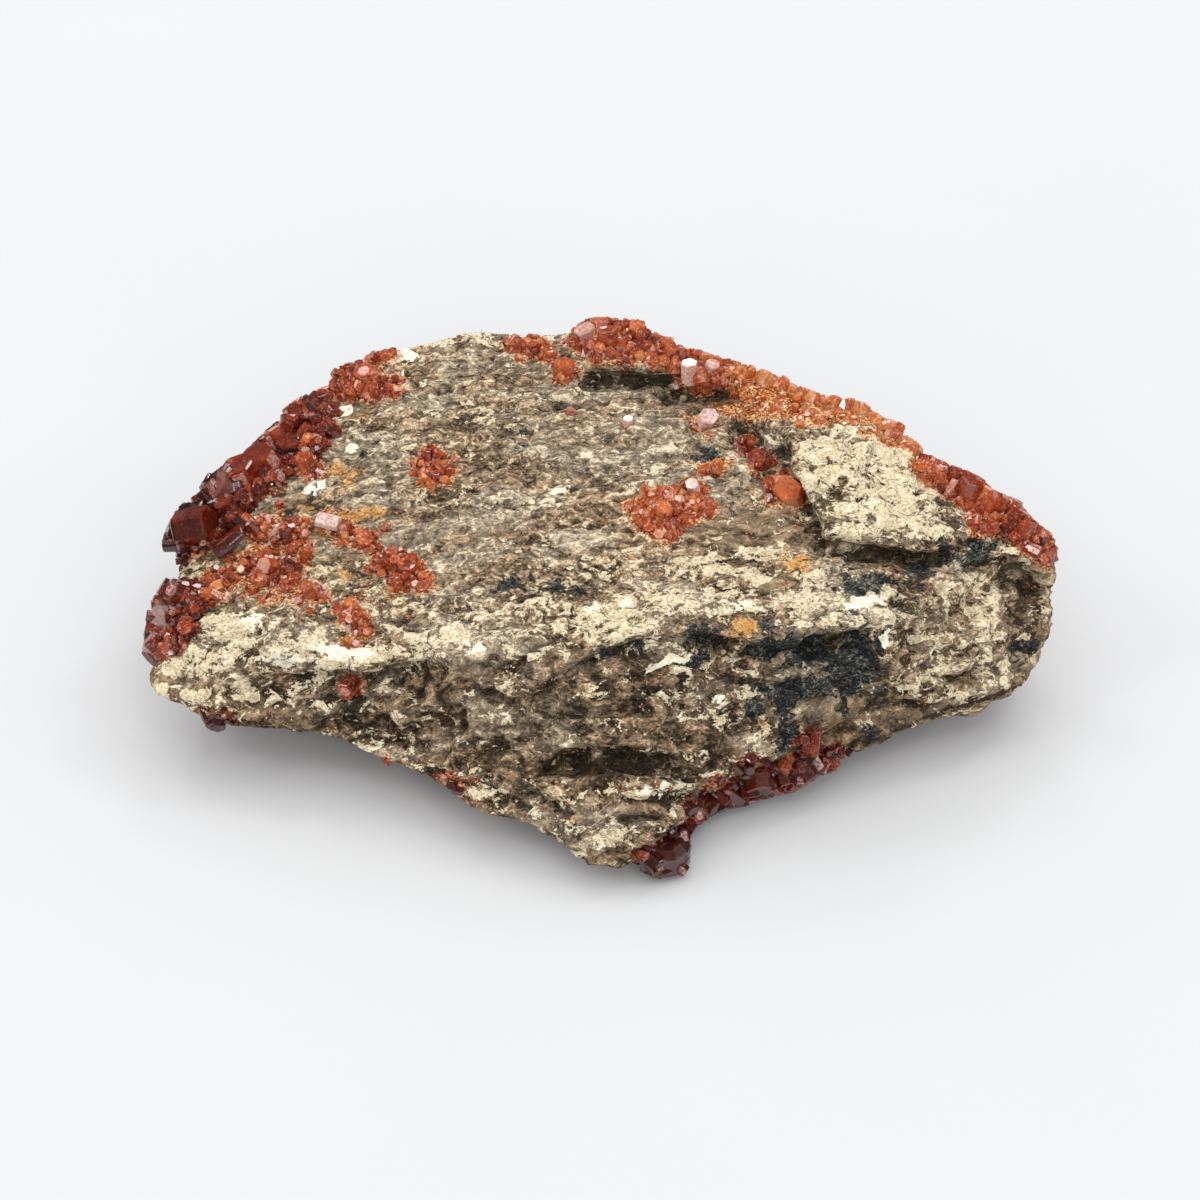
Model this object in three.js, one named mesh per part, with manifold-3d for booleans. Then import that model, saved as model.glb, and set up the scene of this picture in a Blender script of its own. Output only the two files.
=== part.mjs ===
// Vanadinite in matrix: a loose, hand-sized mineral specimen.
// A wedge of grey-brown host rock lies with its crystal-lined, boat-shaped underside down. Red-brown hexagonal
// vanadinite crystals edge its rim, stand in patches on its broken top face and carry it on their flat ends.
// Millimetres, +Z up, X along the specimen's long side, origin at the middle of its footprint.
import * as THREE from "three";
import Module from "manifold-3d";
import { mergeVertices } from "three/addons/utils/BufferGeometryUtils.js";

// ---------------------------------------------------------------- driving dimensions
const GAP = 0.3; // clearance between the host rock and each crystal group
const CRUST = 0.75; // thickness of the drusy crust that joins the crystals of a group
const SHIFT = [-0.25, -0.75, 0]; // moves the survey frame to the middle of the footprint
const BED = 2.7; // mean height of the rock's underside over the surface it lies on
const FLANK = 11; // how far in from the rim the underside keeps falling
const FLANK_POWER = 1.6; // steepness of that fall near the rim
const GRAIN = 0.2; // unevenness of the broken faces
const FILL_STEP = 34; // spacing of the surface points between the surveyed ones, in sight units
const LEAST_RADIUS = 1.2; // in a group of many, smaller crystals than this are left to the crust
const BRIDGE = 4; // how many crystals on from one another the crust of a group is bridged
const EASE = 0.12; // how far a facet may move where the solids are thinned

// Survey frame. The specimen's visible side was surveyed along sight lines from one eye point: each surveyed point is
// [across, down, height], its place in a square sight frame of FRAME units and its height in mm over the surface below.
const FRAME = 1200;
const EYE_DISTANCE = 380; // mm from the eye to the target
const EYE_ELEVATION = (40 * Math.PI) / 180;
const EYE_TAN = 0.15; // tangent of half the sight angle
const TARGET_HEIGHT = 11;

// ---------------------------------------------------------------- survey of the host rock
// Outline of the host rock, clockwise from its left end, along the back rim, down the right end and back along the front.
// Where crystals line the rim it runs inside the specimen's own outline by their height.
const OUTLINE = [
  [154, 656, 9.9], [167, 630, 11.2], [170, 601, 12.3], [173, 576, 13.2], [179, 552, 14.0], [191, 527, 14.8],
  [208, 508, 15.5], [225, 490, 16.1], [246, 474, 16.7], [267, 456, 17.2], [287, 437, 17.6], [306, 419, 18.1],
  [323, 402, 18.6], [338, 380, 19.0], [360, 367, 19.5], [385, 355, 19.9], [416, 347, 20.3], [446, 336, 20.7],
  [477, 331, 21.0], [512, 334, 21.1], [548, 335, 21.2], [578, 335, 21.6], [604, 329, 22.2], [629, 331, 22.4],
  [647, 345, 22.3], [673, 358, 22.2], [701, 366, 22.2], [730, 373, 22.2], [758, 381, 22.1], [786, 392, 21.9],
  [814, 403, 21.7], [841, 408, 21.5], [860, 411, 21.2], [878, 425, 20.7], [900, 444, 20.2], [919, 460, 19.7],
  [938, 476, 19.1], [962, 490, 18.5], [983, 507, 17.8], [1005, 519, 17.2], [1026, 535, 16.6], [1043, 546, 16.0],
  [1053, 558, 15.2], [1058, 577, 13.4], [1053, 600, 11.2], [1053, 620, 9.6], [1047, 640, 8.0], [1037, 662, 6.6],
  [1025, 683, 5.6], [1009, 699, 4.8], [982, 709, 4.3], [954, 718, 4.1], [926, 728, 4.1], [900, 736, 4.2],
  [873, 743, 4.2], [848, 752, 3.8], [821, 761, 3.3], [797, 772, 2.9], [772, 778, 2.7], [745, 786, 2.5],
  [721, 795, 2.4], [700, 806, 2.3], [683, 823, 2.2], [675, 843, 2.1], [660, 856, 2.1], [640, 863, 2.3],
  [615, 868, 2.6], [592, 865, 2.9], [571, 854, 3.3], [550, 838, 3.8], [529, 822, 4.2], [512, 819, 4.3],
  [490, 816, 4.6], [470, 809, 4.9], [455, 793, 5.1], [437, 780, 5.3], [417, 771, 5.5], [394, 763, 5.7],
  [372, 755, 6.0], [345, 742, 6.3], [316, 733, 6.6], [286, 727, 7.0], [256, 724, 7.4], [229, 717, 7.8],
  [209, 708, 8.0], [187, 702, 8.3], [164, 697, 8.7], [152, 686, 9.1], [148, 671, 9.4],
];

// Breaks of slope, each a run of surveyed points.
const BREAKS = [
  // brow between the top and the front face
  [[234, 703, 8.9], [262, 688, 10.3], [300, 677, 11.7], [350, 671, 12.9], [400, 666, 14.0], [440, 660, 14.9],
   [480, 655, 15.7], [520, 652, 16.3], [560, 650, 16.7], [600, 645, 17.1], [640, 640, 17.4], [690, 632, 17.8],
   [720, 632, 17.9], [750, 635, 17.9], [790, 629, 18.0], [830, 623, 18.1], [862, 620, 18.0], [886, 634, 17.0]],
  // hollow under the left half of the brow
  [[268, 697, 9.0], [300, 688, 10.0], [350, 683, 11.0], [400, 678, 12.1], [436, 673, 13.2]],
  // hollow under the right half of the brow
  [[640, 655, 15.4], [690, 648, 15.6], [740, 648, 15.3], [790, 643, 15.4], [830, 640, 15.3], [862, 646, 15.0],
   [884, 660, 14.1]],
  // upper edge of the sloping band above the brow
  [[200, 622, 12.9], [250, 616, 14.0], [300, 622, 14.6], [352, 618, 15.5], [402, 607, 16.4], [450, 592, 17.4],
   [505, 573, 18.3], [560, 556, 19.0], [600, 543, 19.3], [640, 532, 19.6], [700, 518, 20.0], [750, 512, 20.2],
   [796, 512, 20.2]],
  // foot of the raised block's left wall, and on under the block's front lip
  [[733, 424, 21.2], [748, 447, 20.7], [765, 470, 20.4], [782, 492, 20.2], [800, 513, 20.0], [816, 532, 19.5],
   [832, 547, 19.0], [860, 554, 18.5], [900, 558, 17.9], [940, 562, 17.1], [984, 565, 15.9]],
  // top edge of the raised block's left wall and its front lip
  [[744, 412, 22.6], [762, 428, 22.9], [788, 441, 23.1], [798, 468, 22.7], [806, 496, 22.0], [818, 519, 21.1],
   [830, 536, 20.2], [860, 542, 19.8], [900, 547, 19.2], [940, 550, 18.5], [984, 554, 17.4], [1020, 557, 16.6],
   [1048, 560, 15.6]],
  // lip above the notch near the back rim
  [[584, 373, 21.9], [602, 364, 22.6], [640, 361, 22.9], [676, 369, 22.8], [704, 379, 22.6], [733, 386, 22.4]],
  // floor of that notch
  [[590, 381, 21.2], [620, 386, 20.9], [660, 391, 20.8], [698, 401, 20.8], [732, 407, 21.0]],
  // edge of the right end's hollow
  [[985, 574, 15.2], [991, 602, 13.0], [996, 638, 10.4], [1001, 668, 8.3], [1004, 689, 6.9]],
  // rim of the lower right bevel
  [[880, 727, 6.2], [898, 714, 6.7], [940, 705, 6.9], [978, 698, 6.9], [1004, 689, 6.9], [1028, 664, 7.6]],
  // lip over the crystal-lined front hollow
  [[880, 727, 6.2], [850, 740, 6.3], [815, 750, 6.2], [780, 757, 6.1], [750, 765, 6.1], [720, 777, 6.0],
   [700, 789, 5.9], [686, 805, 5.6], [673, 825, 5.0], [655, 842, 4.2], [630, 853, 3.7]],
  // groove across the lower front and the ledge under it
  [[545, 778, 8.1], [575, 768, 8.5], [605, 762, 8.7], [640, 763, 8.6], [672, 777, 7.5]],
  [[548, 792, 7.7], [580, 787, 8.1], [612, 784, 8.3], [645, 783, 8.1], [676, 790, 7.0]],
  [[560, 750, 10.4], [600, 744, 11.0], [640, 745, 10.8], [672, 757, 9.7]],
  // bevel over the lower left edge
  [[262, 714, 7.9], [300, 719, 7.6], [340, 729, 7.1], [380, 744, 6.7], [420, 760, 6.2]],
];

// Single surveyed points on the faces between the breaks.
const SPOTS = [
  [172, 668, 10.3], [178, 688, 9.3], [205, 696, 9.2], [196, 660, 11.4], [228, 676, 10.8], [236, 646, 12.6],
  [280, 650, 13.3], [330, 648, 14.2], [380, 645, 14.9], [430, 636, 15.8], [176, 625, 12.0], [186, 590, 13.3],
  [206, 560, 14.5], [214, 530, 15.2], [240, 500, 16.3], [250, 590, 14.7], [292, 560, 15.9], [330, 592, 15.8],
  [272, 476, 17.0], [310, 440, 18.1], [344, 400, 19.0], [392, 370, 20.1], [450, 356, 20.9], [520, 350, 21.3],
  [320, 510, 17.1], [380, 560, 17.1], [370, 470, 18.3], [430, 520, 18.3], [430, 420, 19.6], [500, 470, 19.7],
  [520, 400, 20.6], [570, 440, 20.4], [560, 510, 19.6], [630, 480, 20.3], [640, 425, 20.9], [690, 450, 20.9],
  [700, 490, 20.5], [745, 482, 20.5], [610, 342, 22.6], [650, 352, 22.8], [700, 366, 22.6], [770, 400, 22.9],
  [820, 414, 22.8], [870, 428, 21.6], [830, 455, 22.6], [862, 490, 21.5], [900, 462, 21.0], [920, 505, 20.0],
  [960, 490, 19.3], [990, 530, 18.0], [1025, 543, 16.9], [870, 520, 20.7], [480, 625, 16.7], [540, 612, 17.7],
  [600, 595, 18.3], [660, 580, 18.7], [720, 568, 19.1], [780, 560, 19.1], [640, 615, 17.9], [700, 605, 18.4],
  [760, 600, 18.6], [815, 585, 18.8], [860, 580, 18.4], [850, 602, 18.3], [884, 604, 17.6], [905, 580, 16.9],
  [940, 585, 16.0], [912, 612, 15.3], [905, 650, 12.4], [948, 620, 13.4], [958, 655, 10.6], [962, 684, 8.2],
  [915, 690, 8.8], [880, 690, 9.4], [866, 672, 12.2], [845, 680, 11.3], [800, 672, 12.6], [760, 676, 12.7],
  [822, 712, 8.9], [780, 715, 9.9], [860, 712, 8.2], [800, 738, 7.4], [760, 745, 8.1], [720, 700, 12.0],
  [720, 745, 8.8], [690, 690, 13.1], [680, 740, 9.8], [650, 700, 13.2], [610, 690, 13.9], [600, 722, 11.9],
  [560, 695, 13.5], [540, 735, 10.8], [510, 690, 13.3], [500, 745, 9.6], [505, 785, 7.0], [470, 700, 12.0],
  [455, 750, 8.2], [430, 712, 10.3], [410, 738, 7.9], [380, 705, 10.1], [360, 725, 7.9], [330, 702, 9.5],
  [300, 705, 8.6], [540, 812, 6.0], [580, 825, 5.7], [620, 820, 6.2], [610, 850, 3.9], [650, 812, 6.2],
  [1022, 580, 12.6], [1040, 590, 12.1], [1018, 615, 10.6], [1030, 645, 8.6], [1015, 668, 7.7],
];

// ---------------------------------------------------------------- sight geometry
const eye = new THREE.Vector3(0, -Math.cos(EYE_ELEVATION) * EYE_DISTANCE, TARGET_HEIGHT + Math.sin(EYE_ELEVATION) * EYE_DISTANCE);
const ahead = new THREE.Vector3(0, Math.cos(EYE_ELEVATION), -Math.sin(EYE_ELEVATION));
const upward = new THREE.Vector3(0, Math.sin(EYE_ELEVATION), Math.cos(EYE_ELEVATION));

const sightRay = (a, d) =>
  ahead.clone().add(new THREE.Vector3(((a - FRAME / 2) / (FRAME / 2)) * EYE_TAN, 0, 0)).addScaledVector(upward, ((FRAME / 2 - d) / (FRAME / 2)) * EYE_TAN).normalize();

// The point of the sight line through [a, d] at height z.
function placed([a, d, z]) {
  const r = sightRay(a, d);
  return eye.clone().addScaledVector(r, (z - eye.z) / r.z);
}

// [across, down] of a point in space.
function sighted(p) {
  const v = p.clone().sub(eye);
  const depth = v.dot(ahead);
  return [FRAME / 2 + ((v.x / depth) / EYE_TAN) * (FRAME / 2), FRAME / 2 - ((v.dot(upward) / depth) / EYE_TAN) * (FRAME / 2)];
}

// ---------------------------------------------------------------- small tools
function fraction(n) {
  const s = Math.sin(n) * 43758.5453123;
  return s - Math.floor(s);
}

// Smooth value noise in space, about -1 to 1.
function noise(x, y, z) {
  const i = Math.floor(x), j = Math.floor(y), k = Math.floor(z);
  const f = (t) => t * t * (3 - 2 * t);
  const u = f(x - i), v = f(y - j), w = f(z - k);
  const at = (a, b, c) => fraction((i + a) * 127.1 + (j + b) * 311.7 + (k + c) * 74.7) * 2 - 1;
  const mix = (a, b, t) => a + (b - a) * t;
  return mix(
    mix(mix(at(0, 0, 0), at(1, 0, 0), u), mix(at(0, 1, 0), at(1, 1, 0), u), v),
    mix(mix(at(0, 0, 1), at(1, 0, 1), u), mix(at(0, 1, 1), at(1, 1, 1), u), v),
    w,
  );
}

function inside(ring, x, y) {
  let hit = false;
  for (let i = 0, j = ring.length - 1; i < ring.length; j = i++)
    if (ring[i][1] > y !== ring[j][1] > y && x < ((ring[j][0] - ring[i][0]) * (y - ring[i][1])) / (ring[j][1] - ring[i][1]) + ring[i][0]) hit = !hit;
  return hit;
}

function edgeDistance(ring, x, y, closed = true) {
  let best = Infinity;
  for (let i = closed ? 0 : 1; i < ring.length; i++) {
    const [ax, ay] = ring[(i + ring.length - 1) % ring.length], [bx, by] = ring[i];
    const t = Math.max(0, Math.min(1, ((x - ax) * (bx - ax) + (y - ay) * (by - ay)) / ((bx - ax) ** 2 + (by - ay) ** 2 || 1)));
    best = Math.min(best, Math.hypot(x - ax - t * (bx - ax), y - ay - t * (by - ay)));
  }
  return best;
}

// Points every `step` or less along a run.
function densified(run, step, closed = false) {
  const out = [];
  for (let i = 0; i < run.length - (closed ? 0 : 1); i++) {
    const p = run[i], q = run[(i + 1) % run.length];
    const n = Math.max(1, Math.ceil(Math.hypot(q[0] - p[0], q[1] - p[1]) / step));
    for (let k = 0; k < n; k++) out.push(p.map((c, m) => c + ((q[m] - c) * k) / n));
  }
  if (!closed) out.push(run[run.length - 1]);
  return out;
}

// Delaunay triangulation of points in the plane, by insertion.
function delaunay(points) {
  const all = [...points, [-9000, -9000], [12000, -9000], [600, 14000]];
  const n = points.length;
  const circle = (a, b, c) => {
    const [ax, ay] = all[a], [bx, by] = all[b], [cx, cy] = all[c];
    const d = 2 * (ax * (by - cy) + bx * (cy - ay) + cx * (ay - by));
    const x = ((ax * ax + ay * ay) * (by - cy) + (bx * bx + by * by) * (cy - ay) + (cx * cx + cy * cy) * (ay - by)) / d;
    const y = ((ax * ax + ay * ay) * (cx - bx) + (bx * bx + by * by) * (ax - cx) + (cx * cx + cy * cy) * (bx - ax)) / d;
    return { v: [a, b, c], x, y, r: (ax - x) ** 2 + (ay - y) ** 2 };
  };
  let tris = [circle(n, n + 1, n + 2)];
  for (let i = 0; i < n; i++) {
    const [x, y] = all[i];
    const edges = new Map();
    const keep = [];
    for (const t of tris) {
      if ((x - t.x) ** 2 + (y - t.y) ** 2 < t.r) {
        for (let e = 0; e < 3; e++) {
          const a = t.v[e], b = t.v[(e + 1) % 3];
          const back = b + "," + a;
          if (edges.has(back)) edges.delete(back);
          else edges.set(a + "," + b, [a, b]);
        }
      } else keep.push(t);
    }
    for (const [a, b] of edges.values()) keep.push(circle(a, b, i));
    tris = keep;
  }
  return tris.map((t) => t.v).filter((v) => v.every((k) => k < n));
}

// The triangles of a sheet over the outline, all counter-clockwise in sight coordinates.
function sheet(points, rim) {
  return delaunay(points)
    .filter(([a, b, c]) => inside(rim, (points[a][0] + points[b][0] + points[c][0]) / 3, (points[a][1] + points[b][1] + points[c][1]) / 3))
    .map(([a, b, c]) => {
      const s = (points[b][0] - points[a][0]) * (points[c][1] - points[a][1]) - (points[b][1] - points[a][1]) * (points[c][0] - points[a][0]);
      return s > 0 ? [a, b, c] : [a, c, b];
    });
}

// Height of a triangulated sheet at [x, y].
function heightAt(points, tris, x, y) {
  for (const [a, b, c] of tris) {
    const [ax, ay, az] = points[a], [bx, by, bz] = points[b], [cx, cy, cz] = points[c];
    const d = (by - cy) * (ax - cx) + (cx - bx) * (ay - cy);
    const u = ((by - cy) * (x - cx) + (cx - bx) * (y - cy)) / d, v = ((cy - ay) * (x - cx) + (ax - cx) * (y - cy)) / d;
    if (u >= -1e-9 && v >= -1e-9 && u + v <= 1 + 1e-9) return az * u + bz * v + cz * (1 - u - v);
  }
  return null;
}

// ---------------------------------------------------------------- host rock
const rim = densified(OUTLINE, 21, true);
const rimPoints = rim.map((p) => placed(p));

// Visible sheet: survey, then fill points between it with a slight grain.
const surveyed = [...rim];
const surveyedRuns = BREAKS.map((run) => densified(run, 19));
for (const p of [...surveyedRuns.flat(), ...SPOTS])
  if (inside(rim, p[0], p[1]) && edgeDistance(rim, p[0], p[1]) > 4 && !surveyed.some((q) => Math.hypot(q[0] - p[0], q[1] - p[1]) < 3)) surveyed.push(p);
const surveyTris = sheet(surveyed, rim);

const front = [...surveyed];
for (let row = 0, d = 320; d < 880; d += FILL_STEP * 0.866, row++)
  for (let a = 140 + (row % 2) * (FILL_STEP / 2); a < 1060; a += FILL_STEP) {
    const x = a + (fraction(a * 1.7 + d * 3.1) - 0.5) * 9, y = d + (fraction(a * 2.3 + d * 1.3) - 0.5) * 9;
    if (!inside(rim, x, y) || edgeDistance(rim, x, y) < 11) continue;
    if (surveyed.some((q) => Math.hypot(q[0] - x, q[1] - y) < 12)) continue;
    if (surveyedRuns.some((run) => edgeDistance(run, x, y, false) < 9)) continue;
    const z = heightAt(surveyed, surveyTris, x, y);
    if (z === null) continue;
    const p = placed([x, y, z]);
    front.push([x, y, z + GRAIN * noise(p.x * 0.33, p.y * 0.33, p.z * 0.33) + 0.5 * GRAIN * noise(p.x * 0.9, p.y * 0.9, 7)]);
  }
const frontTris = sheet(front, rim);

// Hidden sheet: from the rim the flank falls inward to the uneven bed, like a boat's hull.
const SPINE = [-21, 23, 3]; // its middle line runs from x = -21 to x = 23 at y = 3
const backPoints = [...rimPoints];
const back = rim.map(([a, d]) => [a, d]);
const bedAt = (x, y) => BED + 0.55 * noise(x * 0.09 + 5, y * 0.09, 3) + 0.35 * noise(x * 0.21, y * 0.21 + 9, 1);
[[1.3, 1], [3.6, 2], [6.6, 2], [10, 3], [14.5, 4], [19.5, 5]].forEach(([inset, stride], ringIndex) => {
  for (let i = ringIndex % 2; i < rim.length; i += stride) {
    const p = rimPoints[i];
    const sx = Math.max(SPINE[0], Math.min(SPINE[1], p.x)), sy = SPINE[2];
    const away = Math.hypot(sx - p.x, sy - p.y);
    if (inset > away - 3) continue;
    const x = p.x + ((sx - p.x) * inset) / away, y = p.y + ((sy - p.y) * inset) / away;
    const fall = Math.max(0, 1 - inset / FLANK) ** FLANK_POWER;
    const bed = bedAt(x, y);
    const z = bed + (p.z - bed) * fall + (inset < FLANK ? 0.45 * noise(x * 0.2, y * 0.2, p.z * 0.2 + 11) * Math.min(1, inset / 3) : 0);
    const q = new THREE.Vector3(x, y, z);
    const [a, d] = sighted(q);
    if (!inside(rim, a, d) || edgeDistance(rim, a, d) < 4) continue;
    if (back.some((b) => Math.hypot(b[0] - a, b[1] - d) < 9)) continue;
    back.push([a, d]);
    backPoints.push(q);
  }
});
for (let x = SPINE[0]; x <= SPINE[1]; x += 5.5) {
  const q = new THREE.Vector3(x, SPINE[2] + 1.5 * noise(x, 2, 3), bedAt(x, SPINE[2]));
  const [a, d] = sighted(q);
  if (back.some((b) => Math.hypot(b[0] - a, b[1] - d) < 14)) continue;
  back.push([a, d]);
  backPoints.push(q);
}
const backTris = sheet(back, rim);

// Both sheets share the rim's points and close on each other.
const rockPoints = front.map((p, i) => (i < rim.length ? rimPoints[i] : placed(p)));
const extra = rockPoints.length - rim.length;
const rockTris = [
  ...frontTris.map(([a, b, c]) => [a, c, b]),
  ...backTris.map((t) => t.map((k) => (k < rim.length ? k : k + extra))),
];
rockPoints.push(...backPoints.slice(rim.length));

// ---------------------------------------------------------------- crystals
// Each visible group: [across, down, radius, length, turn, lift]. Turn and lift (degrees) point a crystal's long axis:
// turn is measured in the sight frame from "right", lift rises from the frame toward the eye. A crystal given without
// them stands on the rock with a small lean of its own.
const GROUPS = {
  large_left_crystals: [[198, 533, 2.0, 3.6, 12, 24], [203, 515, 1.55, 3.0, 16, 32], [184, 526, 1.4, 1.9], [184, 553, 1.0], [176, 545, 1.1]],
  leaf_shaped_crystal: [[225, 548, 1.1, 3.5, 38, 12]],
  left_shoulder_crystals: [[222, 488, 1.6, 2.1], [236, 494, 1.15, 3.2, 16, 12], [220, 505, 1.3, 3.0, 14, 22], [232, 512, 1.05], [243, 501, 0.85], [236, 523, 0.95]],
  left_rim_crystals: [[242, 479, 1.72, 2.4], [264, 466, 1.67, 2.6], [279, 441, 1.23], [290, 448, 1.06], [303, 452, 0.88], [287, 466, 0.84], [273, 479, 0.97], [256, 489, 0.97]],
  upper_left_rim_crystals: [[312, 412, 1.32], [299, 423, 1.23], [324, 413, 0.97], [313, 427, 1.06], [302, 439, 0.97], [316, 441, 0.88], [326, 428, 0.79]],
  upper_left_cluster: [[342, 390, 0.88], [352, 379, 0.97], [359, 391, 0.88], [367, 379, 1.14], [372, 393, 0.79], [380, 383, 0.97], [391, 386, 0.79]],
  lower_left_rim_crystals: [[170, 604, 1.32], [182, 596, 1.23], [194, 595, 0.97], [161, 620, 1.32], [177, 614, 1.06], [189, 608, 0.88], [170, 634, 1.14], [183, 627, 0.88], [157, 647, 1.14], [170, 645, 0.79]],
  left_patch_crystals: [[252, 528, 1.2], [268, 524, 1.0], [284, 532, 1.2], [301, 530, 1.0], [264, 547, 1.3], [282, 551, 1.3], [301, 549, 1.0], [252, 563, 1.1], [271, 569, 1.4], [291, 569, 1.2], [259, 583, 1.1], [278, 587, 1.3], [297, 589, 1.1], [313, 593, 0.9], [236, 570, 1.1], [222, 580, 1.1], [212, 592, 1.0]],
  patch_arm_crystals: [[329, 525, 0.85, 2.6, -14, 12], [346, 534, 0.85], [366, 543, 0.9]],
  mid_left_cluster: [[382, 568, 1.0], [394, 561, 1.1], [408, 571, 1.3], [419, 581, 0.95], [402, 584, 0.85]],
  ridge_cluster: [[347, 609, 0.85], [353, 620, 1.0], [363, 627, 0.9], [358, 636, 0.8]],
  under_ridge_crystal: [[350, 685, 1.0, 1.3]],
  upper_middle_cluster: [[424, 468, 0.95], [434, 460, 1.1], [441, 472, 0.95], [430, 478, 0.85]],
  upper_left_pair: [[306, 467, 0.95], [315, 474, 0.75]],
  back_rim_left_cluster: [[515, 347, 0.7], [526, 350, 0.88], [537, 347, 0.97], [547, 353, 0.7]],
  lone_orange_crystal: [[564, 371, 1.1, 1.2]],
  back_rim_cluster: [[577, 343, 0.79], [589, 339, 1.06], [602, 336, 1.14], [597, 349, 0.88], [610, 346, 1.06], [618, 338, 0.97], [626, 347, 0.97], [633, 341, 0.88], [639, 352, 0.88]],
  notch_lip_cluster: [[660, 358, 0.88], [675, 365, 0.88], [690, 375, 1.41, 2.2], [701, 382, 0.88], [710, 372, 1.23, 2], [723, 378, 0.97], [697, 364, 0.79]],
  pink_single_crystal: [[706, 423, 1.5, 2]],
  small_red_pair: [[706, 473, 0.9], [717, 468, 0.9]],
  centre_cluster: [[638, 509, 1.0], [651, 501, 1.1], [665, 497, 1.0], [680, 498, 1.1], [694, 503, 1.0], [706, 511, 0.9], [646, 519, 1.0], [661, 514, 1.2], [676, 513, 1.2], [691, 517, 1.0], [656, 529, 0.9], [671, 528, 0.9], [695, 490, 0.9, 2]],
  groove_crystals: [[746, 446, 0.8], [754, 456, 0.9], [763, 464, 1.1]],
  groove_large_crystals: [[784, 484, 1.5, 2.2], [791, 497, 1.5, 2.2], [777, 497, 1.0]],
  orange_rim_crust: [[741, 378, 0.88], [754, 382, 0.79], [768, 387, 0.79], [747, 396, 0.79], [760, 400, 0.7], [777, 406, 0.79], [794, 407, 0.79], [813, 413, 0.79], [832, 412, 0.79], [849, 414, 0.79], [865, 420, 0.79], [880, 429, 0.79], [895, 442, 0.79]],
  right_rim_crystals: [[925, 469, 0.79], [940, 479, 0.88], [954, 487, 1.06], [968, 497, 1.23], [982, 508, 1.23], [996, 516, 1.23], [1009, 525, 1.14], [993, 524, 0.97], [1024, 538, 1.06], [1038, 546, 0.97], [1046, 554, 0.79], [980, 518, 0.88]],
  front_edge_crystals: [[697, 805, 0.97], [714, 796, 0.97], [730, 790, 1.06], [749, 783, 0.97], [755, 770, 1.41, 2.2], [767, 776, 0.97], [782, 773, 0.97], [797, 767, 1.06], [812, 757, 0.97], [811, 742, 0.84, 3.2, 84, 12], [826, 756, 0.88], [838, 754, 0.7]],
  front_tip_crystals: [[662, 852, 1.3], [674, 840, 1.2], [650, 858, 1.0], [674, 853, 1.2]],
  lower_left_edge_crystals: [[209, 714, 1.14], [220, 720, 1.14]],
};
// The crystals it rests on: [x, y, radius], upright, with their flat ends on the surface below.
const FRONT_FOOT = [6.0, -24.9, 2.3]; // one of the front tip crystals
const UNDER_FEET = [[-24, -5, 1.9], [25.5, -3, 1.9], [-13, 13.5, 1.9], [12, 9, 1.9]]; // of the underside druse
const UNDER_COUNT = 18; // further crystals of the underside druse
const UNDER_SPACING = 6.2;

const wasm = await Module();
wasm.setup();
const { Manifold, Mesh: Solid } = wasm;

function solidOf(points, tris) {
  return new Manifold(new Solid({ numProp: 3, vertProperties: Float32Array.from(points.flatMap((p) => [p.x, p.y, p.z])), triVerts: Uint32Array.from(tris.flat()) }));
}

// Outward directions at the rock's points, lengthened at its edges so that an offset keeps its distance from each face.
function outwardAt(points, tris) {
  const sum = points.map(() => new THREE.Vector3());
  const faces = points.map(() => []);
  for (const [a, b, c] of tris) {
    const n = points[b].clone().sub(points[a]).cross(points[c].clone().sub(points[a])).normalize();
    for (const [i, j, k] of [[a, b, c], [b, c, a], [c, a, b]]) {
      const angle = points[j].clone().sub(points[i]).angleTo(points[k].clone().sub(points[i]));
      sum[i].addScaledVector(n, angle);
      faces[i].push(n);
    }
  }
  return sum.map((s, i) => {
    const n = s.normalize();
    const least = Math.min(...faces[i].map((f) => f.dot(n)));
    return n.clone().multiplyScalar(1 / Math.max(0.6, least));
  });
}
const outward = outwardAt(rockPoints, rockTris);
const rockOffset = (distance) => solidOf(rockPoints.map((p, i) => p.clone().addScaledVector(outward[i], distance)), rockTris);
const clearance = rockOffset(GAP);

function hitRock(origin, direction) {
  let best = null;
  const e1 = new THREE.Vector3(), e2 = new THREE.Vector3(), h = new THREE.Vector3(), s = new THREE.Vector3(), q = new THREE.Vector3();
  for (const [a, b, c] of rockTris) {
    e1.subVectors(rockPoints[b], rockPoints[a]);
    e2.subVectors(rockPoints[c], rockPoints[a]);
    h.crossVectors(direction, e2);
    const det = e1.dot(h);
    if (det < 1e-9) continue;
    s.subVectors(origin, rockPoints[a]);
    const u = s.dot(h) / det;
    if (u < 0 || u > 1) continue;
    q.crossVectors(s, e1);
    const v = direction.dot(q) / det;
    if (v < 0 || u + v > 1) continue;
    const t = e2.dot(q) / det;
    if (t > 0 && (!best || t < best.t)) {
      const n = outward[a].clone().normalize().multiplyScalar(1 - u - v).addScaledVector(outward[b].clone().normalize(), u).addScaledVector(outward[c].clone().normalize(), v).normalize();
      best = { t, point: origin.clone().addScaledVector(direction, t), normal: n };
    }
  }
  return best;
}

// Seat of a surveyed crystal: on the rock where its sight line meets it, or on the rim nearest to it.
function seatOf(a, d) {
  const hit = hitRock(eye, sightRay(a, d));
  if (hit) return hit;
  let best = 0;
  rim.forEach((p, i) => {
    if (Math.hypot(p[0] - a, p[1] - d) < Math.hypot(rim[best][0] - a, rim[best][1] - d)) best = i;
  });
  return { point: rimPoints[best], normal: outward[best].clone().normalize() };
}

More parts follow.
